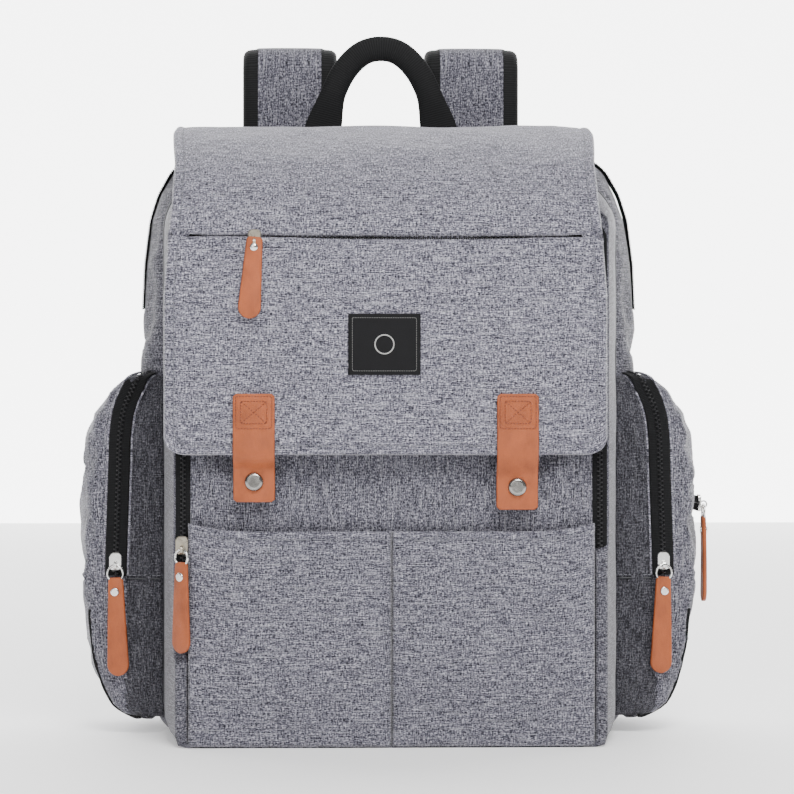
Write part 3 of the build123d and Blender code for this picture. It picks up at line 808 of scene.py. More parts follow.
def make_gusset():
    """The strip of cloth that joins the front panel to the main body, round all four sides."""
    rows = []
    # the lip beside the front zip: half width, depth beside the zip, and depth below the zip's ends
    lip = ((131.0, 8.6, 4.6), (133.5, 8.4, 3.6), (136.5, 8.0, 3.4), (138.6, 7.4, 4.4))
    for half, depth, closed_depth in lip:
        line = gusset_outline(half, GUSSET_HEIGHT - (GUSSET_FRONT_HALF - half), 5)
        foot = np.where(line[:, 0] < 0, ZIP_FEET[-1], ZIP_FEET[1])
        covered = unit((foot - line[:, 2]) / 3.0)
        line[:, 1] = depth + (closed_depth - depth) * covered
        rows.append(line)
    for t in np.linspace(0, 1, 15):
        crown = 2.2 * math.sin(math.pi * t)
        half = GUSSET_FRONT_HALF + (GUSSET_REAR_HALF - GUSSET_FRONT_HALF) * t
        line = gusset_outline(half, GUSSET_HEIGHT + 27 * t, 9 + 6 * t, top_radius=9 + 27 * t)
        line[:, 1] = 7.0 + 54.0 * t
        line[:, 0] *= 1 + crown / GUSSET_REAR_HALF * unit(line[:, 2] / 20)
        rows.append(line)
    grid = np.array(rows)
    wrinkle = folds(grid, (40, 26, 34), 5) * 0.9 * unit(grid[..., 2] / 25)
    inset = np.concatenate([np.zeros(len(lip)), np.sin(np.linspace(0, math.pi, 15))])[:, None]
    grid = pushed(grid, wrinkle * inset)
    gusset = grid_piece("front_gusset_cloth", grid, CLOTH_GUSSET_SHADED, ON_BAG, thickness=CLOTH_THICKNESS)
    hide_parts("front_gusset")
    seam = gusset_outline(149.6, 371.5, 14, top_radius=35)
    seam[:, 1] = 61.2
    # a dark cord along the seam behind the gusset paints the shade in that seam
    tube("gusset_seam_shade_line", seam[seam[:, 2] > 14], 1.3, SEAM_SHADE, ON_BAG, sides=6)


def pocket_top(x):
    """The pockets' mouth rises a little towards the side seams."""
    rise = unit((np.abs(x) - 92) / 40)
    return POCKET_TOP + 5.5 * rise**1.6


def make_front_panel():
    hinge_z = joint_place("front_panel_drop")[2]
    bend = ("blend", "bag", "front_panel", (0, 7, hinge_z - 2.5), (0, 7, hinge_z + 4))
    half = span("front_panel")[1][0] + 0.4
    grid, xx, zz = upright_grid(np.linspace(-half, half, 92), np.linspace(PANEL_TOP, 3.2, 112), 7.2)
    above = unit((zz - POCKET_TOP) / 10)
    edge = unit((half - np.abs(xx)) / 12)
    puff = 1.6 * above * edge
    crease = folds(grid, (34, 40, 90), 9) * 1.5 * above * edge
    # soft hollows beside each snap, where the tongue pulls the cloth
    for snap in ("left_snap_cap", "right_snap_cap"):
        low, high = span(snap)
        centre = (low + high) / 2
        away = np.hypot((xx - centre[0]) / 1.4, zz - centre[2])
        crease += 1.4 * np.cos(np.clip(away / 9, 0, math.pi)) * np.exp(-away / 26) * above
    grid = pushed(grid, puff + crease)
    free = above * edge * unit((PANEL_TOP - zz) / 20) * unit((zz - POCKET_TOP) / 12 - 0.4)
    panel = grid_piece(
        "front_panel_cloth", grid, CLOTH_UPRIGHT_SHADED, bend, thickness=CLOTH_THICKNESS, free=free, pressure=0.5
    )
    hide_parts("front_panel", "front_panel_lower")


def make_front_zip():
    top = PANEL_TOP + 3.0
    half = 134.0
    turn = 7
    corner = [
        (half - turn + turn * math.cos(a), FRONT_ZIP_DEPTH, top - turn + turn * math.sin(a))
        for a in np.linspace(0, math.pi / 2, 8)
    ]
    right_leg = [(half, FRONT_ZIP_DEPTH, z) for z in np.linspace(ZIP_FEET[1], top - turn, 60)]
    left_leg = [(-half, FRONT_ZIP_DEPTH, z) for z in np.linspace(top - turn, ZIP_FEET[-1], 80)]
    path = np.array(right_leg + corner + [(-x, depth, z) for x, depth, z in corner[::-1]] + left_leg)
    zip_run("front_zip", path, FORWARD, 9.5, ON_BAG, ["front_zip_gusset_tape", "front_zip_panel_tape"])


def make_front_pocket(name, side):
    low, high = span(name)
    seam_allowance = 0.6
    x = np.linspace(low[0] - seam_allowance * (side < 0), high[0] + seam_allowance * (side > 0), 62)
    tt, xx = np.meshgrid(np.linspace(0, 1, 66), x, indexing="ij")
    zz = pocket_top(xx) * (1 - tt) + 1.0 * tt
    grid = np.stack([xx, np.full_like(xx, 0.9), zz], axis=2)
    below_mouth = tt * 138
    inner_edge = np.abs(xx - (high[0] if side < 0 else low[0]))
    outer_edge = np.abs(xx - (low[0] if side < 0 else high[0]))
    fall = np.minimum(unit(inner_edge / 16), unit(outer_edge / 14)) ** 0.6
    belly = 1.7 * fall * unit(zz / 20) ** 0.6
    soft = folds(grid, (60, 40, 38), 12 + side) * 0.9 + folds(grid, (22, 40, 70), 15 + side) * 0.35
    hem = 0.55 * bell((below_mouth - 1.6) / 1.3) - 0.35 * bell((below_mouth - 5.0) / 0.8)
    tuck = -2.6 * unit(1 - outer_edge / 3.0) ** 2 - 2.2 * unit(1 - zz / 4.0) ** 2
    tuck = tuck - 1.3 * unit(1 - inner_edge / 1.6) ** 2
    grid = pushed(grid, belly - 0.8 + soft * fall + hem + tuck)
    held = unit(fall * 1.2) * unit(zz / 14 - 0.3) * unit(below_mouth / 10 - 0.6)
    pocket = grid_piece(
        name + "_cloth", grid, CLOTH_POCKETS_SHADED, ON_BAG, thickness=1.4, uv_shift=0.2 * side,
        free=held, slack=0.02, pressure=0.5,
    )
    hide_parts(name)
    mouth = [(px, -0.9, pocket_top(px) - 5.0) for px in np.linspace(low[0] + 3, high[0] - 3, 60)]
    stitches(name + "_hem_stitches", mouth, FORWARD, THREAD_GREY, ON_BAG)


def make_bottle_pocket(name):
    low, high = span(name)
    middle = (low[0] + high[0]) / 2
    rows = [ring((high[0] - low[0]) / 2, low[1], high[1], 16, z) for z in np.linspace(high[2], low[2], 40)]
    grid = np.array(rows) + np.array([middle, 0, 0])
    quilt = 0.7 * np.abs(np.sin(grid[..., 2] * math.pi / 28)) ** 0.6
    grid = pushed(grid, quilt - 1.2 + folds(grid, (20, 20, 20), 31) * 0.4)
    sleeve = grid_piece(name + "_foil", grid, FOIL, ON_BAG, thickness=2.0)
    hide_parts(name)
    tube(name + "_binding", grid[0], 1.6, WEBBING, ON_BAG, up=UPWARD)


# ---------------------------------------------------------------- flap
FLAP_RULE = (
    "blend", "flap_top", "flap_front", (FLAP_X, FOLD[1] + 7, FOLD[2] + 9), (FLAP_X, FOLD[1] - 7, FOLD[2] - 9)
)


def flap_profile():
    """The outer face from the seam behind the top, over it and down to the hem, as (depth, z).

    Also says which of its points make the placket's lip and the slot under it.
    """
    over = smooth_line(
        [(0, 187, 410.6), (0, 150, 411.2), (0, 115, 410.2), (0, 85, 405), (0, 60, 396.8), (0, 36, 384.5),
         (0, 17, 371), (0, 3.5, 357), (0, -4.5, 343), (0, -7.6, ZIP_LIP + 3)],
    )
    lip = [(-8.4, 2), (-8.8, 0.6), (-8.2, -0.3), (-6.6, -0.4), (-5.4, -0.2)]
    slot = [(-5.2, -2.4), (-5.4, -4.6), (-7.2, -5.2), (-8.0, -6.0)]
    placket = [(depth, ZIP_LIP + rise) for depth, rise in lip + slot]
    down = [(FLAP_FACE_DEPTH, z) for z in np.linspace(ZIP_LIP - 9, FLAP_BOTTOM + 16, 42)]
    hem = [(FLAP_FACE_DEPTH, z) for z in np.linspace(FLAP_BOTTOM + 14, FLAP_BOTTOM, 14)]
    profile = np.array([(depth, z) for _, depth, z in over] + placket + down + hem)
    on_placket = np.zeros(len(profile), bool)
    on_placket[len(over) : len(over) + len(placket)] = True
    return profile, on_placket


def flap_waist(z):
    """How much narrower each side of the flap is than its hem, where it bends over the front."""
    return 4.8 * unit((z - 290) / 60) * (1 - unit((z - 378) / 26))


def flap_row(u, depth, z, on_placket):
    """The flap's points at one place of its profile. u runs from -1 to 1 across the flap."""
    corner = 15.0
    half = FLAP_HALF + 0.4 - flap_waist(z)
    x = u * half
    near_foot = unit((FLAP_BOTTOM + 40 - z) / 40)
    in_corner = unit((np.abs(x) - (half - corner)) / corner)
    heights = z + near_foot * corner * (1 - np.sqrt(1 - in_corner**2 * 0.985)) * 0.8
    depths = np.full_like(x, depth)
    if on_placket:
        # the slot closes towards both ends of the placket
        open_share = unit((0.93 - np.abs(u)) / 0.03)
        wide = 0.62 + 0.38 * unit((0.78 - np.abs(u - 0.12)) / 0.5)
        depths = FLAP_FACE_DEPTH + (depth - FLAP_FACE_DEPTH) * open_share
        heights = ZIP_LIP + (z - ZIP_LIP) * wide
    return np.column_stack([x + FLAP_X, depths, heights])


def nearness(grid, node, down_to_hem=False, reach=14):
    """1 where the flap's face lies under this node, falling to 0 at reach beyond the node's edges."""
    low, high = span(node)
    x, depth, z = np.moveaxis(grid, 2, 0)
    beyond = np.maximum(np.maximum(low[0] - x, x - high[0]), z - high[2])
    if not down_to_hem:
        beyond = np.maximum(beyond, low[2] - z)
    return np.where(depth < -7, unit(1 - beyond / reach), 0)


def make_flap():
    profile, on_placket = flap_profile()
    u = np.concatenate([np.linspace(-1, -0.9, 10), np.linspace(-0.88, 0.88, 92), np.linspace(0.9, 1, 10)])
    grid = np.array([flap_row(u, depth, z, lip) for (depth, z), lip in zip(profile, on_placket)])
    height = grid[..., 2]
    side_distance = (1 - np.abs(np.broadcast_to(u, height.shape))) * FLAP_HALF
    bottom_distance = np.where(grid[..., 1] < 0, height - FLAP_BOTTOM, 99)
    edge = np.minimum(side_distance, bottom_distance)
    # the rolled hem and the groove of the stitching beside it
    roll = 0.7 * bell((edge - 2.6) / 2.0) - 0.45 * bell((edge - 6.2) / 1.0) - 1.6 * unit(1 - edge / 1.4) ** 2
    inside = unit(edge / 25)
    belly = 1.2 * unit((height - FLAP_BOTTOM) / 60) * inside
    soft = folds(grid, (95, 70, 36), 21) * 2.2 + folds(grid, (36, 40, 16), 22) * 0.7
    calm = 1 - 0.9 * on_placket[:, None]
    sag = -1.0 * bell((height - (ZIP_LIP - 16)) / 12) * inside
    above_lip = bell((height - (ZIP_LIP + 9)) / 10) * 0.9 * inside
    # the cloth lies flat under the label and the tabs
    covered = nearness(grid, "label")
    for side in ("left", "right"):
        covered = np.maximum(covered, nearness(grid, f"{side}_tab_anchor", down_to_hem=True))
    level = 1 - covered**0.6
    grid = pushed(grid, ((roll + soft * inside + sag + above_lip) * calm + belly) * level)
    flap = grid_piece("flap_cloth", grid, CLOTH, FLAP_RULE, thickness=3.4)
    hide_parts("flap_top", "flap_front")
    make_flap_stitching(profile)

    low, high = span("flap_zip_tape")
    middle = (low[2] + high[2]) / 2 + 0.4
    line = [(x, low[1] + 1.2, middle) for x in np.linspace(low[0] + 2, high[0] - 2, 60)]
    zip_run("flap_zip", line, FORWARD, 6.6, ON_FLAP, ["flap_zip_tape"])


def make_flap_stitching(profile):
    """One row of stitches down both sides of the flap and along its hem."""
    inset, turn = 6.2, 11
    edge = FLAP_X + FLAP_HALF - inset
    right = [(edge - flap_waist(z), depth - 1.1, z) for depth, z in profile[3:] if z > FLAP_BOTTOM + 18]
    corner = [
        (edge - turn + turn * math.cos(a), -9.0, FLAP_BOTTOM + inset + turn - turn * math.sin(a))
        for a in np.linspace(0.1, math.pi / 2, 8)
    ]
    half_path = np.array(right + corner)
    mirrored = half_path[::-1] * [-1, 1, 1] + [2 * FLAP_X, 0, 0]
    stitches("flap_hem_stitches", np.vstack([half_path, mirrored]), FORWARD, THREAD_GREY, FLAP_RULE)


def make_label():
    """A black woven patch with a plain border and a plain ring, in place of any mark."""
    low, high = span("label")
    face = low[1] - 0.5
    grid, xx, zz = upright_grid(np.linspace(low[0], high[0], 40), np.linspace(high[2], low[2], 34), face)
    edge = np.minimum(np.minimum(xx - low[0], high[0] - xx), np.minimum(zz - low[2], high[2] - zz))
    grid = pushed(grid, 0.35 * unit(edge / 1.0) ** 0.5 + folds(grid, (30, 30, 30), 41) * 0.15)
    label = grid_piece("label_cloth", grid, LABEL, ON_FLAP, thickness=0.9)
    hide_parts("label")
    middle = (low + high) / 2
    inset, ring_radius = 2.6, 6
    border = box_path(low[0] + inset, high[0] - inset, face - 0.5, low[2] + inset, high[2] - inset)
    stitches("label_border", resample(border, 1.0), FORWARD, LABEL_THREAD, ON_FLAP, 1.5, 1.3, 0.2)
    circle = [
        (middle[0] + ring_radius * math.cos(a), face - 0.45, middle[2] + ring_radius * math.sin(a))
        for a in np.linspace(0, 2 * math.pi, 49)
    ]
    tube("label_ring", circle, 0.42, LABEL_THREAD, ON_FLAP, flatten=0.5)


# ---------------------------------------------------------------- leather
def leather_strip(name, centre_line, half_widths, thickness, rule, across=(1, 0, 0)):
    """A strip of leather along a line in its middle plane, with rounded edges all round."""
    line = np.asarray(centre_line, float)
    across = np.asarray(across, float)
    tangent = normalised(np.gradient(line, axis=0))
    outward = np.cross(tangent, np.broadcast_to(across, line.shape))
    edge_radius = thickness / 2
    round_edge = [(math.cos(a), math.sin(a)) for a in np.radians(np.linspace(-90, 90, 7))]
    points = []
    for middle, out, half in zip(line, outward, half_widths):
        for hand, section in ((1, round_edge), (-1, round_edge[::-1])):
            for c, s in section:
                reach = half - edge_radius * 0.8 * (1 - c)
                points.append(middle + hand * across * reach + out * edge_radius * s)
    piece = build(name, points, ring_faces(len(line), 2 * len(round_edge)), LEATHER, None)

    def close_ends(shape):
        face_outwards(shape)
        bmesh.ops.triangulate(shape, faces=[face for face in shape.faces if len(face.verts) > 4])

    edited(piece, close_ends)
    piece.data.set_sharp_from_angle(angle=math.radians(50))
    place(piece, rule)
    return piece


def make_tab(side):
    anchor_low, anchor_high = span(f"{side}_tab_anchor")
    low, high = span(f"{side}_tab_tongue")
    cap_low, cap_high = span(f"{side}_snap_cap")
    snap_z = (cap_low[2] + cap_high[2]) / 2
    x = (low[0] + high[0]) / 2
    thick = anchor_high[1] - anchor_low[1]
    outer = (anchor_low[1] + anchor_high[1]) / 2 - 0.2
    inner = high[1] - thick / 2
    line = smooth_line(
        [(x, outer, anchor_high[2]), (x, outer, anchor_high[2] - 12), (x, outer, anchor_low[2]),
         (x, outer - 0.3, FLAP_BOTTOM + 5), (x, outer + 0.6, FLAP_BOTTOM - 2), (x, inner - 0.6, snap_z + 8.5),
         (x, inner, snap_z + 3), (x, inner, low[2] + 3), (x, inner - 0.3, low[2])],
        step=1.6,
    )
    from_end = np.minimum(line[:, 2] - low[2], anchor_high[2] - line[:, 2])
    half = (high[0] - low[0]) / 2 - 2.0 * unit(1 - from_end / 2.0) ** 2
    hinge = anchor_low[2]
    rule = ("blend", "flap_front", f"{side}_tab", (x, outer, hinge + 1.5), (x, outer, hinge - 4))
    tab = leather_strip(f"{side}_tab_leather", line, half, thick, rule)
    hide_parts(f"{side}_tab_anchor", f"{side}_tab_tongue")
    make_crossed_box(side, anchor_low, anchor_high)


def make_crossed_box(side, low, high):
    """The stitches that hold a tab: a box, a smaller box inside it and the smaller one's diagonals."""
    margin, inset = 1.8, 3.2
    face = low[1] - 0.35
    x0, x1 = low[0] + margin, high[0] - margin
    z0, z1 = low[2] + margin, high[2] - 1.6
    left, right, foot, top = x0 + inset, x1 - inset, z0 + inset, z1 - inset
    paths = {
        "box": box_path(x0, x1, face, z0, z1),
        "cross_0": [(left, face, top), (right, face, foot)],
        "cross_1": [(left, face, foot), (right, face, top)],
        "cross_2": box_path(left, right, face, foot, top),
    }
    rows = [
        stitches(f"{side}_tab_{label}", resample(path, 1), FORWARD, THREAD_TAN, None, 1.9, 1.3, 0.26)
        for label, path in paths.items()
    ]
    place(join(f"{side}_tab_stitches", rows), ON_FLAP)


PULL_TILT = {"flap_zip_pull": -0.075, "left_pocket_pull": 0.03, "right_pocket_pull": -0.03}
PULL_TOP_HALF, PULL_FOOT_HALF = 5.0, 7.3


def make_pull(name):
    """The leather pull that hangs from a slider, made in the plane that its hinge faces."""
    hinge = joint_place(f"{name}_swing")
    across = -np.array(JOINTS[f"{name}_swing"]["axis"], float)
    outward = np.cross(across, UPWARD)
    low, high = span(name)
    length = hinge[2] - low[2]
    hides_ring = name == "flap_zip_pull"
    top = -3.4 if hides_ring else hinge[2] - high[2]
    round_from = length - PULL_FOOT_HALF
    round_foot = round_from + PULL_FOOT_HALF * np.sin(np.linspace(0, 1.54, 14))
    drop = np.unique(np.round(np.concatenate([np.linspace(top, length - 9, 30), round_foot]), 3))
    widths = np.interp(drop, [top, round_from], [PULL_TOP_HALF, PULL_FOOT_HALF])
    end = unit((drop - round_from) / PULL_FOOT_HALF)
    widths = np.where(drop > round_from, PULL_FOOT_HALF * np.sqrt(np.clip(1 - end**2, 0.02, 1)), widths)
    widths = widths - 1.2 * unit(1 - (drop - top) / 1.5) ** 2
    curl = 0.4 * np.sin(unit((drop - top) / length) * 3.0) - 0.1
    tilt = PULL_TILT.get(name, 0.0)
    hang = np.array([0, 0, -math.cos(tilt)]) + across * math.sin(tilt)
    lean = np.cross(outward, hang)
    lean *= np.sign(lean @ across)
    line = np.array([hinge + hang * down + outward * out for down, out in zip(drop, curl)])
    pull = leather_strip(f"{name}_leather", line, widths, 2.7, ("ride", name), across=lean)
    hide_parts(name)
    if hides_ring:
        rivet = hinge + hang * (hinge[2] - (ZIP_LIP - 9.5)) + outward * 1.2
        make_rivet("flap_zip_rivet", rivet, outward, 2.7, ("ride", name))
        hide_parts("flap_zip_pull_metal")


def make_rivet(name, middle, outward, radius, rule):
    """A domed rivet head standing on a face."""
    side = np.cross(outward, UPWARD)
    up = np.cross(side, outward)
    levels = [(1.0, 0.0), (1.0, 0.35), (0.86, 0.85), (0.55, 1.25), (0.02, 1.4)]  # size and height
    count = 28
    points = [
        middle + radius * size * (math.cos(a) * side + math.sin(a) * up) + outward * height
        for size, height in levels
        for a in np.linspace(0, 2 * math.pi, count, endpoint=False)
    ]
    build(name, points, ring_faces(len(levels), count, ends=False), BRIGHT, rule)


# ---------------------------------------------------------------- side pockets
POCKET_REACH = [  # height and how far out the pocket bulges there
    (12, 172), (14, 178.5), (20, 185.5), (30, 192), (45, 198.5), (62, 202.5), (85, 205.6), (110, 207),
    (135, 207.4), (160, 207), (182, 205.4), (200, 202.2), (213, 198), (226, 189.5), (234, 182), (238.5, 176),
]
POCKET_SEAM_Z = 104.5
TISSUE_SLOT_Z = 153


def side_pocket_section(z):
    """The pocket's reach, front and rear depths at a height."""
    reach = float(np.interp(z, *zip(*POCKET_REACH)))
    low = unit((z - 12) / 40)
    high = unit((240 - z) / 40)
    front = 61.0 + 7 * (1 - low) ** 2 + 5 * (1 - high) ** 2
    rear = 165.0 - 14 * (1 - low) ** 2 - 10 * (1 - high) ** 2
    return reach, front, rear


def side_pocket_row(z):
    """The pocket's section at a height, from the body in front, round the outside, to the body behind."""
    reach, front, rear = side_pocket_section(z)
    zip_edge = min(185.0, reach - 2.0)
    shoulder = min(reach - 1.0, zip_edge + (reach - zip_edge) * 0.7)
    control = [
        (150.2, front - 0.2, z), (158, front - 0.8, z), (166, front - 1.0, z), (zip_edge - 12, front - 1.0, z),
        (zip_edge - 6, front - 0.7, z), (zip_edge, front + 0.6, z), (shoulder, front + 6, z),
        (reach - 1.6, front + 18, z), (reach, front + 38, z), (reach, rear - 38, z),
        (reach - 3, rear - 16, z), (reach * 0.55 + 167 * 0.45, rear - 4, z), (167, rear, z), (162, rear + 2, z),
    ]
    line = smooth_line(control, step=2.2)
    at = np.linspace(0, len(line) - 1, 74)
    return np.stack([np.interp(at, np.arange(len(line)), line[:, k]) for k in range(3)], axis=1)


def closing_row(row, rise, share):
    """A row drawn in towards the body, at the top or the foot."""
    middle = np.array([158, 112])
    shares = np.array([share, 0.6 + 0.4 * share])
    return np.column_stack([middle + (row[:, :2] - middle) * shares, row[:, 2] + rise])


def side_pocket_grid(side):
    """The right pocket's cloth, with its folds, and how loose it is. The left one is its mirror image."""
    heights = np.concatenate([np.linspace(238.5, 200, 16), np.linspace(197, 45, 48), np.linspace(42, 12, 16)])
    rows = [side_pocket_row(z) for z in heights]
    rows = [closing_row(rows[0], 2.2, 0.25), closing_row(rows[0], 1.6, 0.7)] + rows
    rows += [closing_row(rows[-1], -0.8, 0.7), closing_row(rows[-1], -1.0, 0.25)]
    grid = np.array(rows)
    x, depth, height = np.moveaxis(grid, 2, 0)
    ridge = 0.8 * bell((height - POCKET_SEAM_Z - 2.6) / 1.8) - 1.0 * bell((height - POCKET_SEAM_Z) / 1.3)
    zip_band = bell((x - 179) / 6.2, 8) * (depth < 68) * unit((height - 100) / 6)
    soft = folds(grid, (22, 40, 30), 51 + side) * 1.5 + folds(grid, (12, 30, 60), 53 + side) * 0.6
    # slack folds that run out from the top inner corner
    slack = bell((x - 158) / 12) * unit((height - 120) / 80)
    slack = slack * np.sin(height / 9.0 + x / 7.0) * 1.3 * (depth < 75)
    loose = unit((height - 12) / 20) * unit((240 - height) / 12)
    # flat and a little sunk where the tissue slot lies, on the right pocket's outer face
    slot_band = bell((height - TISSUE_SLOT_Z) / 9, 6) * (side > 0)
    slot_band = slot_band * unit((depth - 76) / 6) * unit((168 - depth) / 8)
    folded = (soft * (1 - 0.8 * zip_band) * (1 - slot_band) + slack) * loose
    return pushed(grid, folded + ridge * 0.8 - 1.2 * zip_band - 1.6 * slot_band), loose, slot_band


def make_side_pocket(name, side):
    plain, loose, slot_band = side_pocket_grid(side)
    grid = plain if side > 0 else plain[:, ::-1] * np.array([-1, 1, 1])
    out = np.abs(grid[..., 0])
    away_from_zip = unit(np.abs(out - 180) / 8 - 0.9)
    free = loose * np.where(grid[..., 1] < 70, away_from_zip, 1.0) * unit((out - 152) / 10) * (1 - slot_band)
    # the strip between the zip and the bag gets the darkest copy of the cloth, which paints the shadow that
    # falls in the recess there
    recess_shadow_mask = (out < 177) & (grid[..., 1] < 72)
    piece = grid_piece(
        f"{name}_pocket_cloth", grid, [CLOTH_UPRIGHT_SHADED, CLOTH_RECESS_SHADOW], ON_BAG, thickness=CLOTH_THICKNESS,
        free=free, slack=0.04, pressure=1.2, shade=recess_shadow_mask,
    )
    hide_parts(f"{name}_pocket_shell", f"{name}_pocket_front")
    make_side_zip(name, side)
    make_side_trim(name, side, plain)


def make_side_zip(name, side):
    """The pocket's zip, over its top and down its front, with light piping on both sides."""
    foot, top = 106.5, 237.5

    def over_top(points):
        lean = unit((points[:, 2] - 232) / 8)
        return np.stack([0.12 * side * np.ones(len(points)), lean - 1, lean * 1.2 + 0.001], axis=1)

    line = []
    for z in np.linspace(foot, top, 50):
        centre = np.interp(z, [100, 116, 205, 222, 238], [182.2, 182, 179, 175.5, 167.5])
        line.append((side * centre, side_pocket_section(z)[1] - 1.5, z))
    over = [(side * 163.5, 69.0, 240.2), (side * 160.0, 76.0, 241.4), (side * 158.5, 86.0, 241.8)]
    line = smooth_line(line[::7] + [line[-1]] + over)
    zip_run(f"{name}_pocket_zip", line, over_top, 14.5, ON_BAG, [f"{name}_pocket_zip_tape"])
    for offset, depth, label in ((-8.0, 0.4, "inner"), (8.0, 1.6, "outer")):
        beside = resample(line + np.array([side * offset, depth, 0]), 4)
        tube(f"{name}_pocket_piping_{label}", beside, 0.8, CLOTH, ON_BAG, sides=6)


def make_side_trim(name, side, plain):
    """The seam below the slider, and the dark binding round the outer bottom edge."""
    depth = side_pocket_section(POCKET_SEAM_Z)[1] - 1.5
    low = np.array([(side * x, depth, POCKET_SEAM_Z) for x in np.linspace(152, 174.5, 20)])
    # the dark cord paints the shade in the seam's groove
    tube(f"{name}_pocket_seam", low, 0.55, SEAM_SHADE, ON_BAG, sides=6)
    raised = low + np.array([0, -0.7, 2.2])
    stitches(f"{name}_pocket_seam_stitches", raised, FORWARD, THREAD_GREY, ON_BAG)
    # the binding follows the column of cloth that turns the corner, then the foot
    half_way = plain[len(plain) // 2]
    turning = int(np.argmin(np.abs(half_way[:, 1] - 68) + (half_way[:, 0] < 185) * 99))
    down = [row[turning] for row in plain[:-2] if row[turning][2] < 84]
    along_foot = [plain[-3][column] for column in range(turning, 4, -6)]
    edge_line = np.array(down + along_foot[1:]) * [side, 1, 1] + [side * 0.5, -0.6, -0.4]
    tube(f"{name}_pocket_binding", smooth_line(edge_line[::2]), 1.0, WEBBING, ON_BAG)


def make_tissue_zip():
    low, high = span("tissue_zip_tape")
    z = (low[2] + high[2]) / 2
    line = [(high[0] + 0.2, depth, z) for depth in np.linspace(low[1], high[1], 30)]
    zip_run("tissue_zip", line, (1, 0, 0), 10.5, ON_BAG, ["tissue_zip_tape"])


# ---------------------------------------------------------------- straps, handle, back
STRAP_THICKNESS = 12.0
STRAP_BINDING = 12.0
STRAP_STEP = 3.2
WEBBING_HALF_WIDTH = 12.5


def section_loop(half_width, half_height, count_flat=22, count_round=7):
    """A padded section as (across, out) pairs, going round once."""
    flat_half = half_width - half_height
    points = []
    for sign in (1, -1):
        for t in np.linspace(-1, 1, count_flat):
            crown = 1 - 0.10 * abs(t) ** 3
            points.append((sign * t * flat_half, sign * half_height * crown))
        for a in np.radians(np.linspace(90, -90, count_round + 2)[1:-1]):
            out = sign * half_height * 0.9 * math.sin(a)
            points.append((sign * (flat_half + half_height * math.cos(a)), out))
    return np.array(points)


def swept(name, line, section_at, materials, rule, shade=None, across=(1, 0, 0)):
    """A closed piece swept along a line. section_at(i, t) gives (across, out) pairs in millimetres.

    shade says which material each side of the section has.
    """
    line = np.asarray(line, float)
    tangent = normalised(np.gradient(line, axis=0))
    out = np.cross(np.broadcast_to(np.asarray(across, float), line.shape), tangent)
    side = normalised(np.cross(tangent, out))
    rings = []
    for i, middle in enumerate(line):
        pairs = section_at(i, i / (len(line) - 1))
        rings.append(middle + pairs[:, :1] * side[i] + pairs[:, 1:2] * out[i])
    rings = np.array(rings)
    count = rings.shape[1]
    around = distances(rings[len(line) // 2]) * MM
    uvs = ring_uvs(distances(line) * MM, np.append(around, around[-1] + 0.001))
    numbers = list(shade or [0] * count) * (len(rings) - 1) + [0, 0]
    faces = ring_faces(len(rings), count)
    piece = build(name, rings.reshape(-1, 3), faces, materials, None, uvs, numbers)
    edited(piece, face_outwards)
    return place(piece, rule)


def make_strap(side):
    """The padded strap: up from the top of the back, over its fold and down behind the bag."""
    riser_low = span(f"{side}_strap_riser")[0]
    low, high = span(f"{side}_shoulder_strap")
    x = (low[0] + high[0]) / 2
    front = riser_low[1] + STRAP_THICKNESS / 2
    back = high[1] - STRAP_THICKNESS / 2
    fold = (back - front) / 2
    fold_middle = high[2] - STRAP_THICKNESS / 2 - fold
    arc = [
        (x, front + fold - fold * math.cos(a), fold_middle + fold * math.sin(a))
        for a in np.linspace(0, math.pi, 13)
    ]
    control = [(x, front, riser_low[2] + 2), (x, front, 420), *arc, (x, back, 400), (x, back, 330)]
    control += [(x, back - 1.5, 280), (x, back - 7, 215), (x, back - 15, low[2] + 1)]
    line = smooth_line(control, step=STRAP_STEP)
    base = section_loop((high[0] - low[0]) / 2, STRAP_THICKNESS / 2 - 0.3)
    width = base[:, 0].max()

    def section_at(i, t):
        from_end = min(i, len(line) - 1 - i) * STRAP_STEP
        puff = 0.55 + 0.45 * unit(from_end / 14) ** 0.5
        taper = 1 - 0.42 * unit((t - 0.86) / 0.14) ** 1.5
        pairs = base * np.array([taper, puff])
        wave = 0.25 * math.sin(i * 0.45) + 0.2 * math.sin(i * 0.21 + 1)
        inner = np.abs(pairs[:, 0]) < (width - 11) * taper
        pairs[:, 1] = pairs[:, 1] + np.sign(pairs[:, 1]) * np.where(inner, wave, -0.55)
        return pairs

    middles = (base[:, 0] + np.roll(base[:, 0], -1)) / 2
    bound = [int(abs(middle) > width - STRAP_BINDING) for middle in middles]
    centre = joint_place(f"{side}_strap_swing")
    # two points about the strap's swing joint, tilted a little
    start = (x, centre[1] - 6, centre[2] + 0.3)
    end = (x, centre[1] + 6, centre[2] - 0.3)
    rule = ("blend", "bag", f"{side}_strap", start, end)
    strap = swept(f"{side}_strap_pad", line, section_at, [CLOTH_UPRIGHT_SHADED, WEBBING], rule, bound)
    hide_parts(f"{side}_strap_riser", f"{side}_shoulder_strap")
    return x


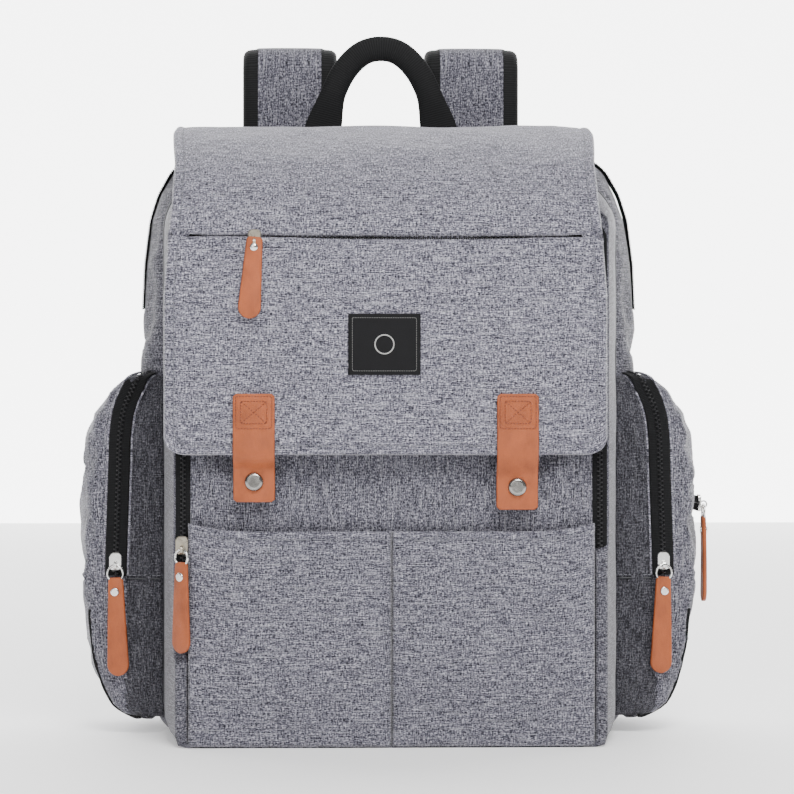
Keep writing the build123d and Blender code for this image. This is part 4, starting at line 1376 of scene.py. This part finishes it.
def make_strap_webbing(side, out, x):
    """The webbing from the strap's buckle to the bottom corner of the back. x is the strap's middle."""
    low, high = span(f"{side}_strap_webbing")
    buckle_low, buckle_high = span(f"{side}_strap_buckle")
    x_foot = low[0] + 14 if out < 0 else high[0] - 14
    run = smooth_line(
        [(x, (buckle_low[1] + buckle_high[1]) / 2, buckle_low[2] + 9), (x + out * 1.5, high[1] - 1, high[2]),
         ((x + x_foot) / 2, (low[1] + high[1]) / 2 + 1, (low[2] + high[2]) / 2),
         (x_foot, low[1] + 1.4, low[2] + 3)],
        step=4,
    )
    flat = [(share, -1) for share in np.linspace(-1, 1, 5)] + [(share, 1) for share in np.linspace(1, -1, 5)]
    section = np.array(flat) * [WEBBING_HALF_WIDTH, 0.8]
    rule = ("blend", f"{side}_strap", "bag", tuple(run[0]), tuple(run[-3]))
    web = swept(f"{side}_lower_webbing", run, lambda i, t: section, WEBBING, rule)
    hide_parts(f"{side}_strap_webbing")
    # the cloth triangle that anchors the webbing in the bottom corner of the back
    tip = np.array([x_foot - out * 2, low[1] - 3.2, low[2] + 20])
    corner = np.array([out * 124.0, 198.0, 18.0])
    upper, lower = corner + np.array([0, 0, 26]), corner + np.array([-out * 34, 0, 0])
    rows = []
    for t in np.linspace(0, 1, 10):
        a, b = tip + (upper - tip) * t, tip + (lower - tip) * t
        rows.append([a + (b - a) * s for s in np.linspace(0.0, 1.0, 8)])
    anchor = grid_piece(f"{side}_webbing_anchor", np.array(rows), WEBBING, ON_BAG, thickness=2.2)


def make_handle():
    low, high = span("handle")
    x = (low[0] + high[0]) / 2
    depth = (low[1] + high[1]) / 2
    foot = span("handle_anchors")[0][2] + 1
    half_arch = [(43.5, foot), (43.3, 409), (40.5, 423), (34.0, 445), (25.5, 461.5), (13.5, 473)]
    left = [(x - out, depth, z) for out, z in half_arch]
    right = [(x + out, depth, z) for out, z in half_arch[::-1]]
    line = smooth_line(left + [(x, depth, high[2] - 9.6)] + right, step=2.4)

    def section_at(i, t):
        """Flat and wide at the feet, round where the hand holds it."""
        grip = float(unit((min(t, 1 - t) - 0.10) / 0.16))
        grip = grip * grip * (3 - 2 * grip)
        angle = np.linspace(0, 2 * math.pi, 24, endpoint=False)
        pair = np.column_stack([np.cos(angle), np.sin(angle)])
        half_sizes = np.array([1.9 + 2.7 * grip, 13.2 - 4.2 * grip])
        return np.sign(pair) * np.abs(pair) ** (0.55 + 0.3 * grip) * half_sizes

    rule = ("blend", "bag", "handle", (x, depth, 409.5), (x, depth, 418))
    handle = swept("handle_webbing", line, section_at, WEBBING, rule, across=(0, 1, 0))
    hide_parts("handle", "handle_anchors")


def make_back_pad():
    low, high = span("back_panel_pad")
    radius = 30
    grid, xx, zz = upright_grid(np.linspace(high[0], low[0], 84), np.linspace(high[2], low[2], 118), 0)
    half_w, half_h = (high[0] - low[0]) / 2, (high[2] - low[2]) / 2
    cz = (high[2] + low[2]) / 2
    # the corners are rounded by pulling the outline in
    px = np.clip(np.abs(xx) - (half_w - radius), 0, None)
    pz = np.clip(np.abs(zz - cz) - (half_h - radius), 0, None)
    corner = np.hypot(px, pz)
    pull = np.where(corner > radius, radius / np.maximum(corner, 1e-6), 1.0)
    both = (px > 0) & (pz > 0)
    xx = np.where(both, np.sign(xx) * (half_w - radius + px * pull), xx)
    zz = np.where(both, cz + np.sign(zz - cz) * (half_h - radius + pz * pull), zz)
    edge = np.minimum(half_w - np.abs(xx), half_h - np.abs(zz - cz))
    edge = np.where(both, radius - np.hypot(px * pull, pz * pull), edge)
    dome = unit(edge / 14) ** 0.55
    # sewn channels: one down the middle and four bowed ones across
    channel = bell(xx / 5.0) * (zz < 340) * (zz > 60)
    for level in (110, 190, 270, 335):
        bowed = bell((zz - level - 0.0012 * xx**2) / 4.0) * unit((118 - np.abs(xx)) / 14)
        channel = np.maximum(channel, bowed)
    depth = low[1] + 2.5 + (high[1] - low[1] - 3.4) * (dome - 0.55 * channel * dome)
    pad = grid_piece("back_pad_mesh", np.stack([xx, depth, zz], axis=2), MESH_FABRIC, ON_BAG, thickness=2.4)
    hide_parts("back_panel_pad")
    outline = rounded_box(half_w, low[2], high[2], radius)
    outline = np.insert(outline + outline[:1], 1, low[1] + 2.6, axis=1)
    tube("back_pad_binding", resample(outline, 5), 1.9, WEBBING, ON_BAG, up=(0, 1, 0))


def plate(node, material):
    """Gives a rigid CAD node its material."""
    node.data.materials.clear()
    node.data.materials.append(material)


def finish_hardware():
    """The rigid pieces keep their CAD shape and get their metal or plastic."""
    dark = ("front_zip_slider", "flap_zip_slider", "main_zip_slider")
    for name, node in frame["nodes"].items():
        if name in dark:
            plate(node, ANTIQUE)
        elif "_snap_" in name or name == "snap_studs":
            plate(node, GUNMETAL)
        elif name.endswith(("_slider", "_pull_metal")):
            plate(node, BRIGHT)
        elif name.endswith("_strap_buckle"):
            plate(node, BUCKLE)
    plate(frame["nodes"]["bottom_board"], BOARD)


# ---------------------------------------------------------------- studio
def studio_sheet(name, material_name, corners, roughness, glow):
    """A large white sheet that also glows a little."""
    mesh = bpy.data.meshes.new(name)
    mesh.from_pydata(corners, [], [(0, 1, 2, 3)])
    sheet = bpy.data.objects.new(name, mesh)
    bpy.context.scene.collection.objects.link(sheet)
    surface = Surface(material_name)
    surface.shade(Base_Color=(0.9, 0.9, 0.9), Roughness=roughness)
    surface.shade(Emission_Color=(1, 1, 1), Emission_Strength=glow)
    mesh.materials.append(surface.material)
    return sheet


def make_studio():
    size = 6.0
    corners = [(-size, -size, 0), (size, -size, 0), (size, size, 0), (-size, size, 0)]
    floor = studio_sheet("floor", "studio_floor", corners, 0.7, 0.3)
    behind, half, low, high = 2.6, 5, -0.5, 5
    corners = [(-half, behind, low), (half, behind, low), (half, behind, high), (-half, behind, high)]
    backdrop = studio_sheet("backdrop", "backdrop_white", corners, 0.5, 5.0)

    world = bpy.data.worlds.new("studio")
    world.use_nodes = True
    world.node_tree.nodes["Background"].inputs["Color"].default_value = (1, 1, 1, 1)
    world.node_tree.nodes["Background"].inputs["Strength"].default_value = 0.2
    bpy.context.scene.world = world

    aim = Vector((0, 0, 0.22))
    for name, position, power, width in (
        ("key_light", (0.35, -1.45, 1.75), 55, 1.0),
        ("fill_light", (-0.7, -2.2, 1.1), 14, 1.5),
        ("top_light", (0.0, 0.1, 1.9), 6, 1.6),
    ):
        light = bpy.data.lights.new(name, "AREA")
        light.energy = power
        light.size = width
        lamp = bpy.data.objects.new(name, light)
        lamp.location = position
        lamp.rotation_euler = (aim - Vector(position)).to_track_quat("-Z", "Y").to_euler()
        bpy.context.scene.collection.objects.link(lamp)


def make_camera():
    """Level, 1.5 m in front of the pockets, a little to the left, on a long lens."""
    distance = 1.5
    turn = math.radians(-1.3)
    centre = Vector((0.0032, FRONT_Y * MM, 0.225))
    seen_width = 0.508
    sensor = 36
    camera = bpy.data.cameras.new("camera")
    camera.sensor_width = sensor
    camera.lens = sensor * distance / seen_width
    eye = bpy.data.objects.new("camera", camera)
    eye.location = centre + distance * Vector((math.sin(turn), -math.cos(turn), 0))
    eye.rotation_euler = (math.pi / 2, 0, turn)
    bpy.context.scene.collection.objects.link(eye)
    bpy.context.scene.camera = eye


make_studio()
make_camera()
make_body()
make_main_zip()
make_gusset()
make_front_panel()
make_front_zip()
make_front_pocket("front_pocket_left", -1)
make_front_pocket("front_pocket_right", 1)
for sleeve_name in ("bottle_pocket_left", "bottle_pocket_middle", "bottle_pocket_right"):
    make_bottle_pocket(sleeve_name)
make_flap()
make_label()
make_tab("left")
make_tab("right")
make_side_pocket("left", -1)
make_side_pocket("right", 1)
make_tissue_zip()
for owner in ("flap_zip", "front_zip", "left_pocket", "right_pocket", "tissue_zip"):
    make_pull(f"{owner}_pull")
for side_name, hand in (("left", -1), ("right", 1)):
    strap_x = make_strap(side_name)
    make_strap_webbing(side_name, hand, strap_x)
make_handle()
make_back_pad()
finish_hardware()
